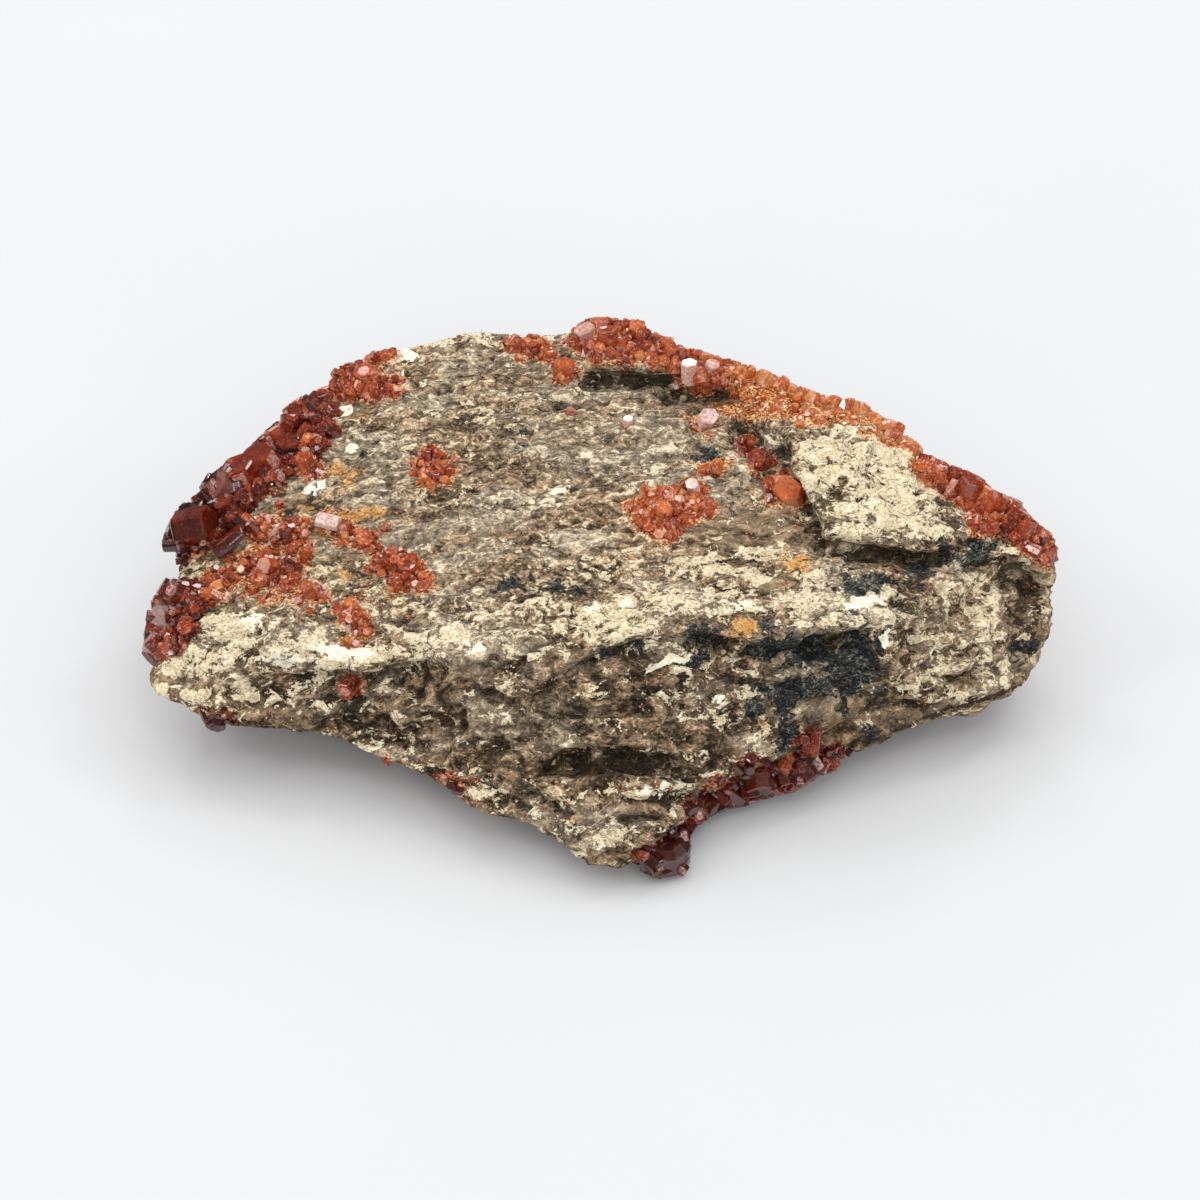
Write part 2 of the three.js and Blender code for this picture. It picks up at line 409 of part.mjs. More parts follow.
function prism(center, axis, radius, length, roll, sides = 6, taper = 1) {
  const z = axis.clone().normalize();
  const x = Math.abs(z.z) < 0.9 ? new THREE.Vector3(0, 0, 1).cross(z).normalize() : new THREE.Vector3(1, 0, 0).sub(z.clone().multiplyScalar(z.x)).normalize();
  const y = z.clone().cross(x);
  const m = new THREE.Matrix4().makeBasis(x, y, z).multiply(new THREE.Matrix4().makeRotationZ(roll)).setPosition(center);
  return Manifold.cylinder(length, radius, radius * taper, sides, true).transform(m.elements.slice());
}

// The axis, centre and length of one crystal on its seat.
function crystalOn(seat, [a, d, radius, length, turn, lift]) {
  const n = seat.normal;
  let axis;
  if (turn === undefined) {
    const lean = 0.15 + 0.55 * fraction(a * 3.7 + d), way = 2 * Math.PI * fraction(a + d * 5.3);
    const t = Math.abs(n.z) < 0.9 ? new THREE.Vector3(0, 0, 1).cross(n).normalize() : new THREE.Vector3(1, 0, 0).cross(n).normalize();
    axis = n.clone().addScaledVector(t, lean * Math.cos(way)).addScaledVector(n.clone().cross(t), lean * Math.sin(way)).normalize();
  } else {
    const u = (turn * Math.PI) / 180, l = (lift * Math.PI) / 180;
    axis = new THREE.Vector3(Math.cos(u), 0, 0).addScaledVector(upward, Math.sin(u)).multiplyScalar(Math.cos(l)).addScaledVector(ahead, -Math.sin(l)).normalize();
  }
  const tall = length ?? radius * (1.25 + 0.5 * fraction(a * 1.9 + d * 2.7));
  const along = Math.abs(axis.dot(n)), sink = Math.min(0.9, tall * 0.4);
  const side = axis.dot(n) < 0 ? -1 : 1;
  const total = tall + (along > 0.5 ? sink : 0);
  const center = seat.point.clone().addScaledVector(axis, side * (tall / 2 - (along > 0.5 ? sink / 2 : 0)) * along).addScaledVector(n, (0.35 * radius + GAP) * (1 - along));
  return { center, axis, radius, length: total, roll: fraction(a * 0.7 + d * 1.3) * 1.05 };
}

const solids = {};
const placedCrystals = [];
let taken = null; // what earlier groups fill, with a little room round it
function keepRoom(crystals) {
  const room = Manifold.union(crystals.map((c) => prism(c.center, c.axis, c.radius + 0.22, c.length + 0.4, c.roll)));
  taken = taken ? taken.add(room) : room;
}
function largest(solid) {
  const parts = solid.decompose();
  return parts.reduce((best, p) => (p.volume() > best.volume() ? p : best), parts[0]);
}

// A group is its crystals and the crust they grow from: flat knobs at the crystals' seats, bridged from each to the ones after it.
function group(name, rows, foot) {
  const seats = rows.map((row) => seatOf(row[0], row[1]));
  const kept = rows.map((row, i) => rows.length < 5 || row[2] >= LEAST_RADIUS || i % 3 === 0);
  const crystals = rows.map((row, i) => crystalOn(seats[i], row));
  const parts = crystals.filter((c, i) => kept[i]).map((c) => prism(c.center, c.axis, c.radius, c.length, c.roll));
  if (rows.length > 1) {
    const knobs = rows.map((row, i) => {
      const { point, normal } = seats[i];
      const t = new THREE.Vector3(fraction(i * 3.1) - 0.5, 0.7, fraction(i * 1.7) - 0.5).cross(normal).normalize().multiplyScalar(0.5 * row[2]);
      const top = point.clone().addScaledVector(normal, GAP + CRUST);
      return [top.clone().add(t), top.clone().sub(t), point.clone().addScaledVector(normal, -0.4)].map((p) => p.toArray());
    });
    for (let k = 0; k < rows.length - 1; k += BRIDGE) parts.push(Manifold.hull(knobs.slice(k, k + BRIDGE + 1).flat()));
  }
  let solid = Manifold.union(parts).trimByPlane([0, 0, 1], 0.25);
  if (foot) solid = solid.add(prism(new THREE.Vector3(foot[0], foot[1], 1.7), new THREE.Vector3(0, 0, 1), foot[2], 3.4, 0.3));
  solid = solid.subtract(clearance);
  if (taken) solid = solid.subtract(taken);
  solids[name] = largest(solid).simplify(EASE);
  placedCrystals.push(...crystals);
  keepRoom([...crystals.filter((c, i) => kept[i]), ...seats.map((s, i) => ({ center: s.point, axis: s.normal, radius: rows[i][2] + 0.2, length: 2 * (GAP + CRUST), roll: rows[i][0] }))]);
}
for (const [name, rows] of Object.entries(GROUPS)) group(name, rows, name === "front_tip_crystals" ? FRONT_FOOT : null);

// ---------------------------------------------------------------- underside druse
// A crust over the hidden flank and bed, with crystals grown on it and the feet it rests on.
{
  let hidden = backTris.map((t) => t.map((k) => (k < rim.length ? k : k + extra))).filter((t) => t.every((k) => k >= rim.length));
  const clash = new Map();
  const crowded = (k) => {
    if (!clash.has(k)) clash.set(k, placedCrystals.some((c) => c.center.distanceTo(rockPoints[k]) < c.radius + c.length / 2 + 1.5));
    return clash.get(k);
  };
  hidden = hidden.filter((t) => !t.some(crowded));
  for (let again = true; again; ) {
    // a point where two arms of the crust would only touch is left out
    const open = new Map();
    const sides = new Map();
    for (const [a, b, c] of hidden)
      for (const [i, j] of [[a, b], [b, c], [c, a]])
        if (sides.has(j + "," + i)) sides.delete(j + "," + i);
        else sides.set(i + "," + j, [i, j]);
    for (const [i, j] of sides.values()) for (const k of [i, j]) open.set(k, (open.get(k) ?? 0) + 1);
    const before = hidden.length;
    hidden = hidden.filter((t) => !t.some((k) => open.get(k) > 2));
    again = hidden.length < before;
  }
  const used = [...new Set(hidden.flat())];
  const place = new Map(used.map((k, i) => [k, i]));
  const low = used.map((k) => rockPoints[k].clone().addScaledVector(outward[k], GAP + 0.35));
  const high = used.map((k) => {
    const p = rockPoints[k].clone().addScaledVector(outward[k].clone().normalize(), GAP + 0.4 + CRUST * (1 + 0.35 * noise(rockPoints[k].x * 0.5, rockPoints[k].y * 0.5, 4)));
    p.z = Math.max(p.z, 0.35);
    return p;
  });
  const n = used.length;
  const tris = [];
  const edges = new Map();
  for (const t of hidden) {
    const [a, b, c] = t.map((k) => place.get(k));
    tris.push([a + n, b + n, c + n], [a, c, b]);
    for (const [i, j] of [[a, b], [b, c], [c, a]]) {
      if (edges.has(j + "," + i)) edges.delete(j + "," + i);
      else edges.set(i + "," + j, [i, j]);
    }
  }
  for (const [i, j] of edges.values()) tris.push([i, j, j + n], [i, j + n, i + n]);
  const crust = solidOf([...low, ...high], tris).simplify(0.22);
  const parts = [];

  // crystals over it, spread by a seeded dart throw over the hidden triangles
  const seeds = [];
  const feet = UNDER_FEET;
  for (let k = 0, n2 = 0; k < 4000 && n2 < UNDER_COUNT; k++) {
    const t = hidden[Math.floor(fraction(k * 0.317 + 2.1) * hidden.length)];
    let u = fraction(k * 1.93 + 0.7), v = fraction(k * 2.71 + 1.9);
    if (u + v > 1) [u, v] = [1 - u, 1 - v];
    const p = rockPoints[t[0]].clone().multiplyScalar(1 - u - v).addScaledVector(rockPoints[t[1]], u).addScaledVector(rockPoints[t[2]], v);
    const normal = outward[t[0]].clone().normalize().multiplyScalar(1 - u - v).addScaledVector(outward[t[1]].clone().normalize(), u).addScaledVector(outward[t[2]].clone().normalize(), v).normalize();
    if (seeds.some((s) => s.point.distanceTo(p) < UNDER_SPACING)) continue;
    if (feet.some(([x, y, r]) => Math.hypot(p.x - x, p.y - y) < r + 2.4)) continue;
    if (rimPoints.some((r) => r.distanceTo(p) < 2.4)) continue;
    if (placedCrystals.some((c) => c.center.distanceTo(p) < c.radius + c.length / 2 + 3.2)) continue;
    const size = 1.1 + 1.1 * fraction(k * 5.17) ** 2;
    const c = crystalOn({ point: p, normal }, [k, k * 0.37, size, size * 1.5]);
    const foot = GAP + 0.4 + size * Math.sqrt(1 - Math.min(1, c.axis.dot(normal) ** 2)) + c.length / 2;
    c.center = p.clone().addScaledVector(normal, foot);
    const tip = sighted(c.center.clone().addScaledVector(c.axis, (c.length / 2) * Math.sign(c.axis.dot(normal))));
    if (!inside(rim, tip[0], tip[1]) || edgeDistance(rim, tip[0], tip[1]) < 8) continue;
    seeds.push({ point: p, normal });
    n2++;
    parts.push(prism(c.center, c.axis, c.radius, c.length, c.roll).trimByPlane([0, 0, 1], 0.25));
  }
  for (const [x, y, radius] of feet) {
    const low = hitRock(new THREE.Vector3(x, y, -50), new THREE.Vector3(0, 0, 1)).point.z - GAP - 0.35;
    parts.push(prism(new THREE.Vector3(x, y, low / 2), new THREE.Vector3(0, 0, 1), radius, low, x));
  }
  const grown = Manifold.union(parts);
  solids.underside_druse = largest(crust.add(grown)).simplify(EASE);
}

// ---------------------------------------------------------------- nodes
const specimen = new THREE.Group();
const rockMaterial = new THREE.MeshStandardMaterial({ color: 0x8f7c62, roughness: 0.93, metalness: 0 });
const crystalMaterial = new THREE.MeshStandardMaterial({ color: 0x8c2f18, roughness: 0.18, metalness: 0 });
for (const [name, solid] of [["matrix", solidOf(rockPoints, rockTris).simplify(1.4 * EASE)], ...Object.entries(solids)]) {
  const { vertProperties, triVerts } = solid.getMesh();
  const g = new THREE.BufferGeometry();
  g.setAttribute("position", new THREE.Float32BufferAttribute(Array.from(vertProperties, (v, i) => v + SHIFT[i % 3]), 3));
  g.setIndex(Array.from(triVerts));
  const mesh = new THREE.Mesh(mergeVertices(g, 1e-4), name === "matrix" ? rockMaterial : crystalMaterial.clone());
  mesh.name = name;
  specimen.add(mesh);
}

export default specimen;
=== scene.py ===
import math

import bpy
import numpy as np
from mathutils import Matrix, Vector
from mathutils.bvhtree import BVHTree


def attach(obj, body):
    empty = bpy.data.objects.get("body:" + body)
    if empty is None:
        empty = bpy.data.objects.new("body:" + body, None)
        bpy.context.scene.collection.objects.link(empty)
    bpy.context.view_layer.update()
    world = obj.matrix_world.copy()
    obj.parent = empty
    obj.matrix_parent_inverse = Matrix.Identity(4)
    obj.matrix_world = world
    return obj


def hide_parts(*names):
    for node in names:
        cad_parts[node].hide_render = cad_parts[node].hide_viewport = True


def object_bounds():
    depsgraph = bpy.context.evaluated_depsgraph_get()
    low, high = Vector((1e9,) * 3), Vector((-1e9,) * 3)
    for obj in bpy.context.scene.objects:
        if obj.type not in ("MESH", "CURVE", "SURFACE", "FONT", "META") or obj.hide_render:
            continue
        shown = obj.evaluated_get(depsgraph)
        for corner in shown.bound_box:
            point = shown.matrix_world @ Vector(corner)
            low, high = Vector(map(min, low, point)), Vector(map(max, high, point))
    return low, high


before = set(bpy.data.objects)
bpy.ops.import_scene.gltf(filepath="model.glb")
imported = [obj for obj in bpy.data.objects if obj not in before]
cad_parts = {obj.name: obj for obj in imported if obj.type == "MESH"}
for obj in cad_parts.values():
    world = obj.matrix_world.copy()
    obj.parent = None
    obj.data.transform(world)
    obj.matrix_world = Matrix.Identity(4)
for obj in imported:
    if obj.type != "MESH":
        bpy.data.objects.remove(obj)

cad_box = [list(c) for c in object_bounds()]
MM = 0.001
SHIFT = np.array([-0.25, -0.75, 0.0])  # survey frame to row frame, mm
rng = np.random.RandomState(11)

# ------------------------------------------------------------------ sight frame (as in the CAD source)
ELEV = math.radians(40)
DIST, TAN, TARGET = 380.0, 0.15, 11.0
AHEAD = np.array([0, math.cos(ELEV), -math.sin(ELEV)])
UP = np.array([0, math.sin(ELEV), math.cos(ELEV)])
EYE = np.array([0, -math.cos(ELEV) * DIST, TARGET + math.sin(ELEV) * DIST]) + SHIFT


def sighted(p):
    """[across, down] in the 1200-unit sight frame of points in mm."""
    v = np.asarray(p) - EYE
    depth = v @ AHEAD
    return np.stack([600 + v[..., 0] / depth / TAN * 600, 600 - (v @ UP) / depth / TAN * 600], -1)


def sight_ray(a, d):
    r = AHEAD + np.array([1.0, 0, 0]) * ((a - 600) / 600 * TAN) + UP * ((600 - d) / 600 * TAN)
    return r / np.linalg.norm(r)


# ------------------------------------------------------------------ noise on arrays
def _hash(i, j, k, seed):
    h = (i * 374761393 + j * 668265263 + k * 2147483647 + seed * 1274126177) & 0xFFFFFFFF
    h = ((h ^ (h >> 13)) * 1274126177) & 0xFFFFFFFF
    h = ((h ^ (h >> 16)) * 2246822519) & 0xFFFFFFFF
    return ((h ^ (h >> 15)) & 0xFFFFFF) / float(0xFFFFFF) * 2 - 1


def vnoise(p, seed=0):
    """Smooth value noise, -1 to 1."""
    f = np.floor(p)
    i, j, k = (f[:, c].astype(np.int64) for c in range(3))
    t = p - f
    t = t * t * t * (t * (t * 6 - 15) + 10)
    out = 0
    for di in (0, 1):
        wx = t[:, 0] if di else 1 - t[:, 0]
        for dj in (0, 1):
            wy = t[:, 1] if dj else 1 - t[:, 1]
            for dk in (0, 1):
                wz = t[:, 2] if dk else 1 - t[:, 2]
                out = out + wx * wy * wz * _hash(i + di, j + dj, k + dk, seed)
    return out


def fbm(p, octaves=4, gain=0.5, seed=0):
    out, amp = 0, 1.0
    for o in range(octaves):
        out = out + amp * vnoise(p * 2**o, seed + o * 17)
        amp *= gain
    return out


def ridged(p, octaves=4, gain=0.55, seed=0):
    out, amp = 0, 1.0
    for o in range(octaves):
        out = out + amp * (1 - 2 * np.abs(vnoise(p * 2**o, seed + o * 17)))
        amp *= gain
    return out


def cells(p, seed=0):
    """The nearest of scattered points: its own number (-1 to 1), the way from it, and how clearly it is the nearest."""
    f = np.floor(p).astype(np.int64)
    best = np.full(len(p), 1e9)
    second = best.copy()
    number = np.zeros(len(p))
    way = np.zeros((len(p), 3))
    for di in (-1, 0, 1):
        for dj in (-1, 0, 1):
            for dk in (-1, 0, 1):
                i, j, k = f[:, 0] + di, f[:, 1] + dj, f[:, 2] + dk
                q = np.stack([i, j, k], -1) + 0.5 + 0.45 * np.stack([_hash(i, j, k, seed + m) for m in (1, 2, 3)], -1)
                e = p - q
                d2 = (e * e).sum(1)
                nearer = d2 < best
                second = np.where(nearer, best, np.minimum(second, d2))
                best = np.where(nearer, d2, best)
                number = np.where(nearer, _hash(i, j, k, seed + 9), number)
                way[nearer] = e[nearer]
    return number, way, np.sqrt(second) - np.sqrt(best)


def facets(p, seed, tilt, stepped):
    """Heights of a surface broken into tilted faces."""
    number, way, _ = cells(p, seed)
    t = np.stack([np.sin(number * 997.1 + m * 2.1) for m in range(3)], -1)
    return tilt * (way * t).sum(1) + stepped * np.sin(number * 531.7)


def smooth(x, lo, hi):
    t = np.clip((x - lo) / (hi - lo), 0, 1)
    return t * t * (3 - 2 * t)


def run_distance(s, run):
    """Distance of sight points s from a run of points, and the side it is on (+ to the right of the run's direction)."""
    best = np.full(len(s), 1e9)
    side = np.zeros(len(s))
    for (ax, ay), (bx, by) in zip(run[:-1], run[1:]):
        dx, dy = bx - ax, by - ay
        t = np.clip(((s[:, 0] - ax) * dx + (s[:, 1] - ay) * dy) / (dx * dx + dy * dy), 0, 1)
        ex, ey = s[:, 0] - ax - t * dx, s[:, 1] - ay - t * dy
        dist = np.hypot(ex, ey)
        near = dist < best
        best[near] = dist[near]
        side[near] = np.sign(dx * ey - dy * ex)[near]
    return best, side


def in_ring(s, ring):
    hit = np.zeros(len(s), bool)
    n = len(ring)
    for i in range(n):
        (xi, yi), (xj, yj) = ring[i], ring[i - 1]
        if yi == yj:
            continue
        cross = ((yi > s[:, 1]) != (yj > s[:, 1])) & (s[:, 0] < (xj - xi) * (s[:, 1] - yi) / (yj - yi) + xi)
        hit ^= cross
    return hit


# the specimen's outline in the sight frame, crystals included
OUTER = [
    (605, 314), (636, 318), (646, 322), (657, 334), (671, 336), (686, 348), (699, 348), (715, 354), (735, 360), (745, 358), (764, 370), (783, 374), (792, 382), (816, 392), (862, 400),
    (882, 416), (905, 424), (906, 433), (941, 460), (967, 470), (986, 480), (993, 490), (1021, 500), (1032, 518), (1052, 533), (1058, 546), (1060, 563), (1054, 592), (1054, 618),
    (1050, 633), (1030, 678), (1011, 700), (874, 746), (843, 768), (819, 778), (803, 792), (760, 800), (748, 806), (728, 810), (713, 816), (692, 832), (690, 867), (685, 876),
    (673, 882), (658, 882), (636, 870), (598, 867), (571, 854), (529, 822), (496, 818), (474, 810), (462, 804), (445, 786), (401, 766), (386, 766), (375, 758), (358, 752),
    (335, 740), (316, 734), (298, 734), (273, 726), (255, 726), (221, 732), (205, 730), (202, 714), (196, 708), (157, 696), (150, 691), (140, 661), (148, 604), (160, 586),
    (158, 575), (160, 543), (172, 514), (183, 502), (192, 498), (210, 470), (219, 470), (225, 458), (237, 458), (277, 420), (289, 398), (303, 396), (319, 386), (329, 368),
    (357, 360), (374, 350), (416, 344), (477, 328), (550, 328),
]
EDGE0 = np.array(OUTER, float)
EDGE = np.roll(EDGE0, -1, 0) - EDGE0


def outside(s):
    """How far sight points lie outside the outline (less than 0 inside), and the outline's nearest point."""
    rel = s[:, None, :] - EDGE0[None]
    t = np.clip((rel * EDGE[None]).sum(2) / (EDGE * EDGE).sum(1), 0, 1)
    at = EDGE0[None] + t[..., None] * EDGE[None]
    dist = np.hypot(s[:, None, 0] - at[..., 0], s[:, None, 1] - at[..., 1])
    k = dist.argmin(1)
    i = np.arange(len(s))
    return np.where(in_ring(s, OUTER), -dist[i, k], dist[i, k]), at[i, k]


# ------------------------------------------------------------------ host rock: fine mesh from the CAD form
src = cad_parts["matrix"]
rock = bpy.data.objects.new("host_rock", src.data.copy())
bpy.context.scene.collection.objects.link(rock)
rm = rock.modifiers.new("fine", "REMESH")
rm.mode = "VOXEL"
rm.voxel_size = 0.00033
rm.adaptivity = 0
fine = bpy.data.meshes.new_from_object(rock.evaluated_get(bpy.context.evaluated_depsgraph_get()))
rock.modifiers.clear()
rock.data = fine
fine.name = "host_rock"
n = len(fine.vertices)
co = np.empty(n * 3)
fine.vertices.foreach_get("co", co)
co = co.reshape(-1, 3) / MM
edges = np.empty(len(fine.edges) * 2, np.int64)
fine.edges.foreach_get("vertices", edges)
edges = edges.reshape(-1, 2)
degree = np.bincount(edges.ravel(), minlength=n)[:, None]


def relax(values, times, factor=0.6):
    for _ in range(times):
        acc = np.zeros_like(values)
        for c in range(values.shape[1]):
            acc[:, c] = np.bincount(edges[:, 0], values[edges[:, 1], c], n) + np.bincount(edges[:, 1], values[edges[:, 0], c], n)
        values = values + factor * (acc / degree - values)
    return values


def put(points):
    fine.vertices.foreach_set("co", (points * MM).ravel())
    fine.update()


def normals():
    out = np.empty(n * 3)
    fine.vertex_normals.foreach_get("vector", out)
    return out.reshape(-1, 3)


co = relax(co, 3)
for _ in range(6):
    co = relax(relax(co, 1, 0.55), 1, -0.58)
put(co)
co = co + normals() * 0.12
put(co)
nor = relax(normals(), 6)
nor /= np.linalg.norm(nor, axis=1)[:, None]


def tree():
    polys = [tuple(p.vertices) for p in fine.polygons]
    return BVHTree.FromPolygons([Vector(v) for v in co], polys)


bvh = tree()
sight = sighted(co)
to_eye = EYE - co
to_eye /= np.linalg.norm(to_eye, axis=1)[:, None]
facing = np.einsum("ij,ij->i", nor, to_eye)
seen = np.zeros(n)
for i in np.nonzero(facing > -0.05)[0]:
    hit = bvh.ray_cast(Vector(co[i] + nor[i] * 0.25), Vector(to_eye[i]))
    seen[i] = 1.0 if hit[0] is None else 0.0
seen = relax(seen[:, None], 6)[:, 0]
vis = smooth(seen, 0.25, 0.6)

# ------------------------------------------------------------------ host rock: broken surface
P = co
top = smooth(nor[:, 2], 0.60, 0.9)
foliation = ridged(P * np.array([0.14, 0.55, 1.0]), 4, 0.62, 3)
lumps = fbm(P * 0.16, 3, 0.5, 21)
grit = fbm(P * 1.05, 3, 0.65, 40)
broken_top = facets(P * np.array([0.15, 0.34, 1.1]), 3, 0.46, 0.20) + facets(P * np.array([0.50, 0.85, 1.4]), 4, 0.32, 0.11)
broken_front = facets(P * np.array([0.17, 0.23, 0.30]), 1, 1.25, 0.42) + facets(P * np.array([0.50, 0.65, 0.85]), 2, 0.55, 0.20)
disp = top * (0.12 * foliation + broken_top + 0.22 * lumps) + (1 - top) * (0.10 * foliation + broken_front + 0.36 * lumps) + 0.12 * grit
chips = np.abs(vnoise(P * np.array([0.40, 0.60, 0.8]), 77))
disp -= 0.34 * smooth(chips, 0.45, 0.62)
inset, _ = outside(sight)
edge_w = np.where(vis > 0.5, 0.22 + 0.78 * smooth(-inset, 2, 26), 0.45)
disp *= relax(edge_w[:, None], 4)[:, 0]

# worked features: runs in the sight frame with depth (mm, negative is cut in), half width, and how one-sided they are
CUTS = [
    # notch near the back rim, in two lens-shaped hollows
    ([(588, 379), (615, 377), (650, 377), (684, 381)], -1.1, 6.5),
    ([(664, 389), (690, 391), (715, 393), (733, 390)], -1.0, 6.5),
    ([(600, 371), (640, 368), (680, 372)], 0.5, 4),
    # groove along the raised block's wall
    ([(735, 427), (748, 441), (762, 457), (776, 470)], -1.2, 8),
    ([(776, 447), (786, 458)], -0.8, 6),
    ([(800, 486), (806, 502), (816, 520), (828, 538)], -0.9, 5),
    # crevice under the block's front lip
    ([(838, 546), (860, 552), (890, 556), (925, 558)], -1.5, 6),
    ([(930, 545), (955, 540), (985, 545)], -0.7, 6),
    # cracks in the block
    ([(873, 446), (870, 462), (862, 480), (861, 504)], -0.45, 2.2),
    ([(914, 468), (919, 484), (918, 502)], -0.4, 2.0),
    ([(905, 440), (930, 447), (950, 470)], -0.3, 2.2),
    # brow undercuts
    ([(690, 644), (720, 648), (760, 650), (800, 648), (850, 650)], -0.9, 9),
    ([(600, 657), (620, 652), (640, 655)], -0.8, 8),
    ([(300, 683), (340, 681), (376, 679)], -0.7, 5),
    ([(398, 668), (420, 672)], -0.6, 6),
    # cleft across the lower front and the ledge under it
    ([(556, 764), (590, 758), (630, 760), (668, 768)], -1.4, 8),
    ([(600, 781), (640, 784), (690, 789)], 0.5, 5),
    ([(628, 797), (660, 800), (690, 800), (722, 790)], -0.8, 4.5),
    # layered bevel, lower right
    ([(884, 738), (930, 716), (980, 702), (1020, 686)], -0.35, 2.5),
    ([(892, 725), (940, 706), (1000, 692)], -0.3, 2.5),
    ([(900, 736), (950, 720), (1005, 702)], -0.25, 2.2),
    # ridge line and hollow of the right end
    ([(988, 574), (992, 610), (999, 650), (1006, 684)], 0.35, 4),
    ([(1012, 580), (1016, 620), (1022, 655)], -0.5, 9),
    ([(1036, 590), (1034, 630)], -0.3, 5),
    # raised flake under the brow
    ([(645, 655), (665, 664), (690, 672)], 0.5, 4),
    ([(884, 618), (887, 640), (885, 656)], 0.5, 4),
    # small scars on the top
    ([(490, 434), (530, 438)], -0.3, 5),
    ([(700, 448), (716, 470)], -0.35, 6),
    ([(378, 480), (420, 478)], -0.3, 2.5),
    ([(700, 512), (760, 510), (800, 514)], -0.25, 2.5),
    ([(690, 545), (750, 547), (800, 545)], -0.2, 3),
    ([(740, 580), (780, 575), (800, 590)], -0.3, 5),
    ([(560, 700), (600, 712), (640, 706)], -0.4, 6),
    ([(500, 745), (540, 748)], -0.4, 6),
]
# parts of the rock's edge that stand a little further down: run, how far (mm), half width
FULLER = [([(196, 706), (222, 716), (250, 718)], 0.75, 20), ([(142, 640), (144, 668), (152, 684)], 0.5, 14), ([(640, 850), (660, 845)], 0.3, 12), ([(1026, 676), (1050, 625)], 0.5, 16)]

# steps: runs in the sight frame with the rise behind them, the drop in front of them (mm) and how far each reaches (sight units);
# what lies to the left of the run's direction is the high side
STEPS = [
    ([(588, 374), (600, 369), (622, 369), (648, 372), (668, 376), (690, 381), (702, 386)], 0.75, 1.15, 20, 15),
    ([(664, 388), (690, 387), (714, 386), (738, 390)], 0.35, 0.95, 10, 15),
    ([(766, 426), (784, 441), (789, 464), (797, 488), (808, 514), (824, 541)], 0.75, 0.9, 16, 15),
    ([(822, 541), (845, 545), (868, 548), (892, 553), (926, 557), (950, 552)], 0.5, 1.3, 16, 12),
    ([(640, 642), (680, 637), (720, 640), (760, 641), (800, 640), (848, 634), (880, 628)], 0.3, 0.95, 14, 18),
    ([(262, 678), (300, 676), (340, 673), (378, 671), (404, 664), (436, 661)], 0.28, 0.8, 16, 14),
    ([(590, 655), (606, 645), (628, 645), (646, 652)], 0.2, 0.7, 10, 12),
    ([(545, 758), (580, 753), (620, 753), (668, 762)], 0.3, 1.1, 12, 16),
    ([(606, 783), (640, 783), (660, 788), (692, 793), (722, 787)], 0.55, 0.7, 9, 9),
    ([(470, 700), (500, 690), (540, 694), (580, 706)], 0.35, 0.4, 14, 12),
    ([(410, 722), (450, 716), (490, 722)], 0.3, 0.45, 10, 10),
    ([(640, 720), (680, 730), (720, 734), (752, 728)], 0.3, 0.4, 12, 10),
    ([(500, 776), (530, 790), (560, 800)], 0.3, 0.4, 12, 10),
    ([(905, 676), (930, 672), (960, 676)], 0.3, 0.4, 10, 8),
    ([(455, 610), (490, 606), (530, 612)], 0.22, 0.3, 10, 8),
    ([(700, 590), (740, 584), (790, 588)], 0.22, 0.3, 10, 8),
    ([(380, 505), (420, 500), (470, 504)], 0.18, 0.22, 12, 8),
    ([(560, 445), (610, 441), (660, 446)], 0.16, 0.22, 12, 8),
]
wobble = np.stack([fbm(P * 0.55, 2, 0.5, 5), fbm(P * 0.55, 2, 0.5, 6)], -1) * 2.6
sw = sight + wobble
for run, depth, width in CUTS:
    dist, _ = run_distance(sw, run)
    disp += vis * depth * np.exp(-((dist / width) ** 2))
for run, rise, drop, up_reach, down_reach in STEPS:
    dist, side = run_distance(sw, run)
    below = smooth(dist * side, -1.6, 1.6)
    disp += vis * ((1 - below) * rise * np.exp(-((dist / up_reach) ** 2)) - below * drop * np.exp(-((dist / down_reach) ** 2)))

co = co + nor * disp[:, None]
for run, far, width in FULLER:
    dist, _ = run_distance(sight, run)
    co = co - UP * (far * np.exp(-((dist / width) ** 2)))[:, None]
# the thinnest lips break off: sharp points are drawn back into the rock
for _ in range(5):
    put(co)
    pull = relax(co, 3) - co
    inward = (pull * normals()).sum(1) < 0
    co = co + pull * (smooth(np.linalg.norm(pull, axis=1), 0.10, 0.26) * inward)[:, None]
co[:, 2] = np.maximum(co[:, 2], 0.9)
put(co)
nor2 = normals()
bvh = tree()
P = co
sight = sighted(co)

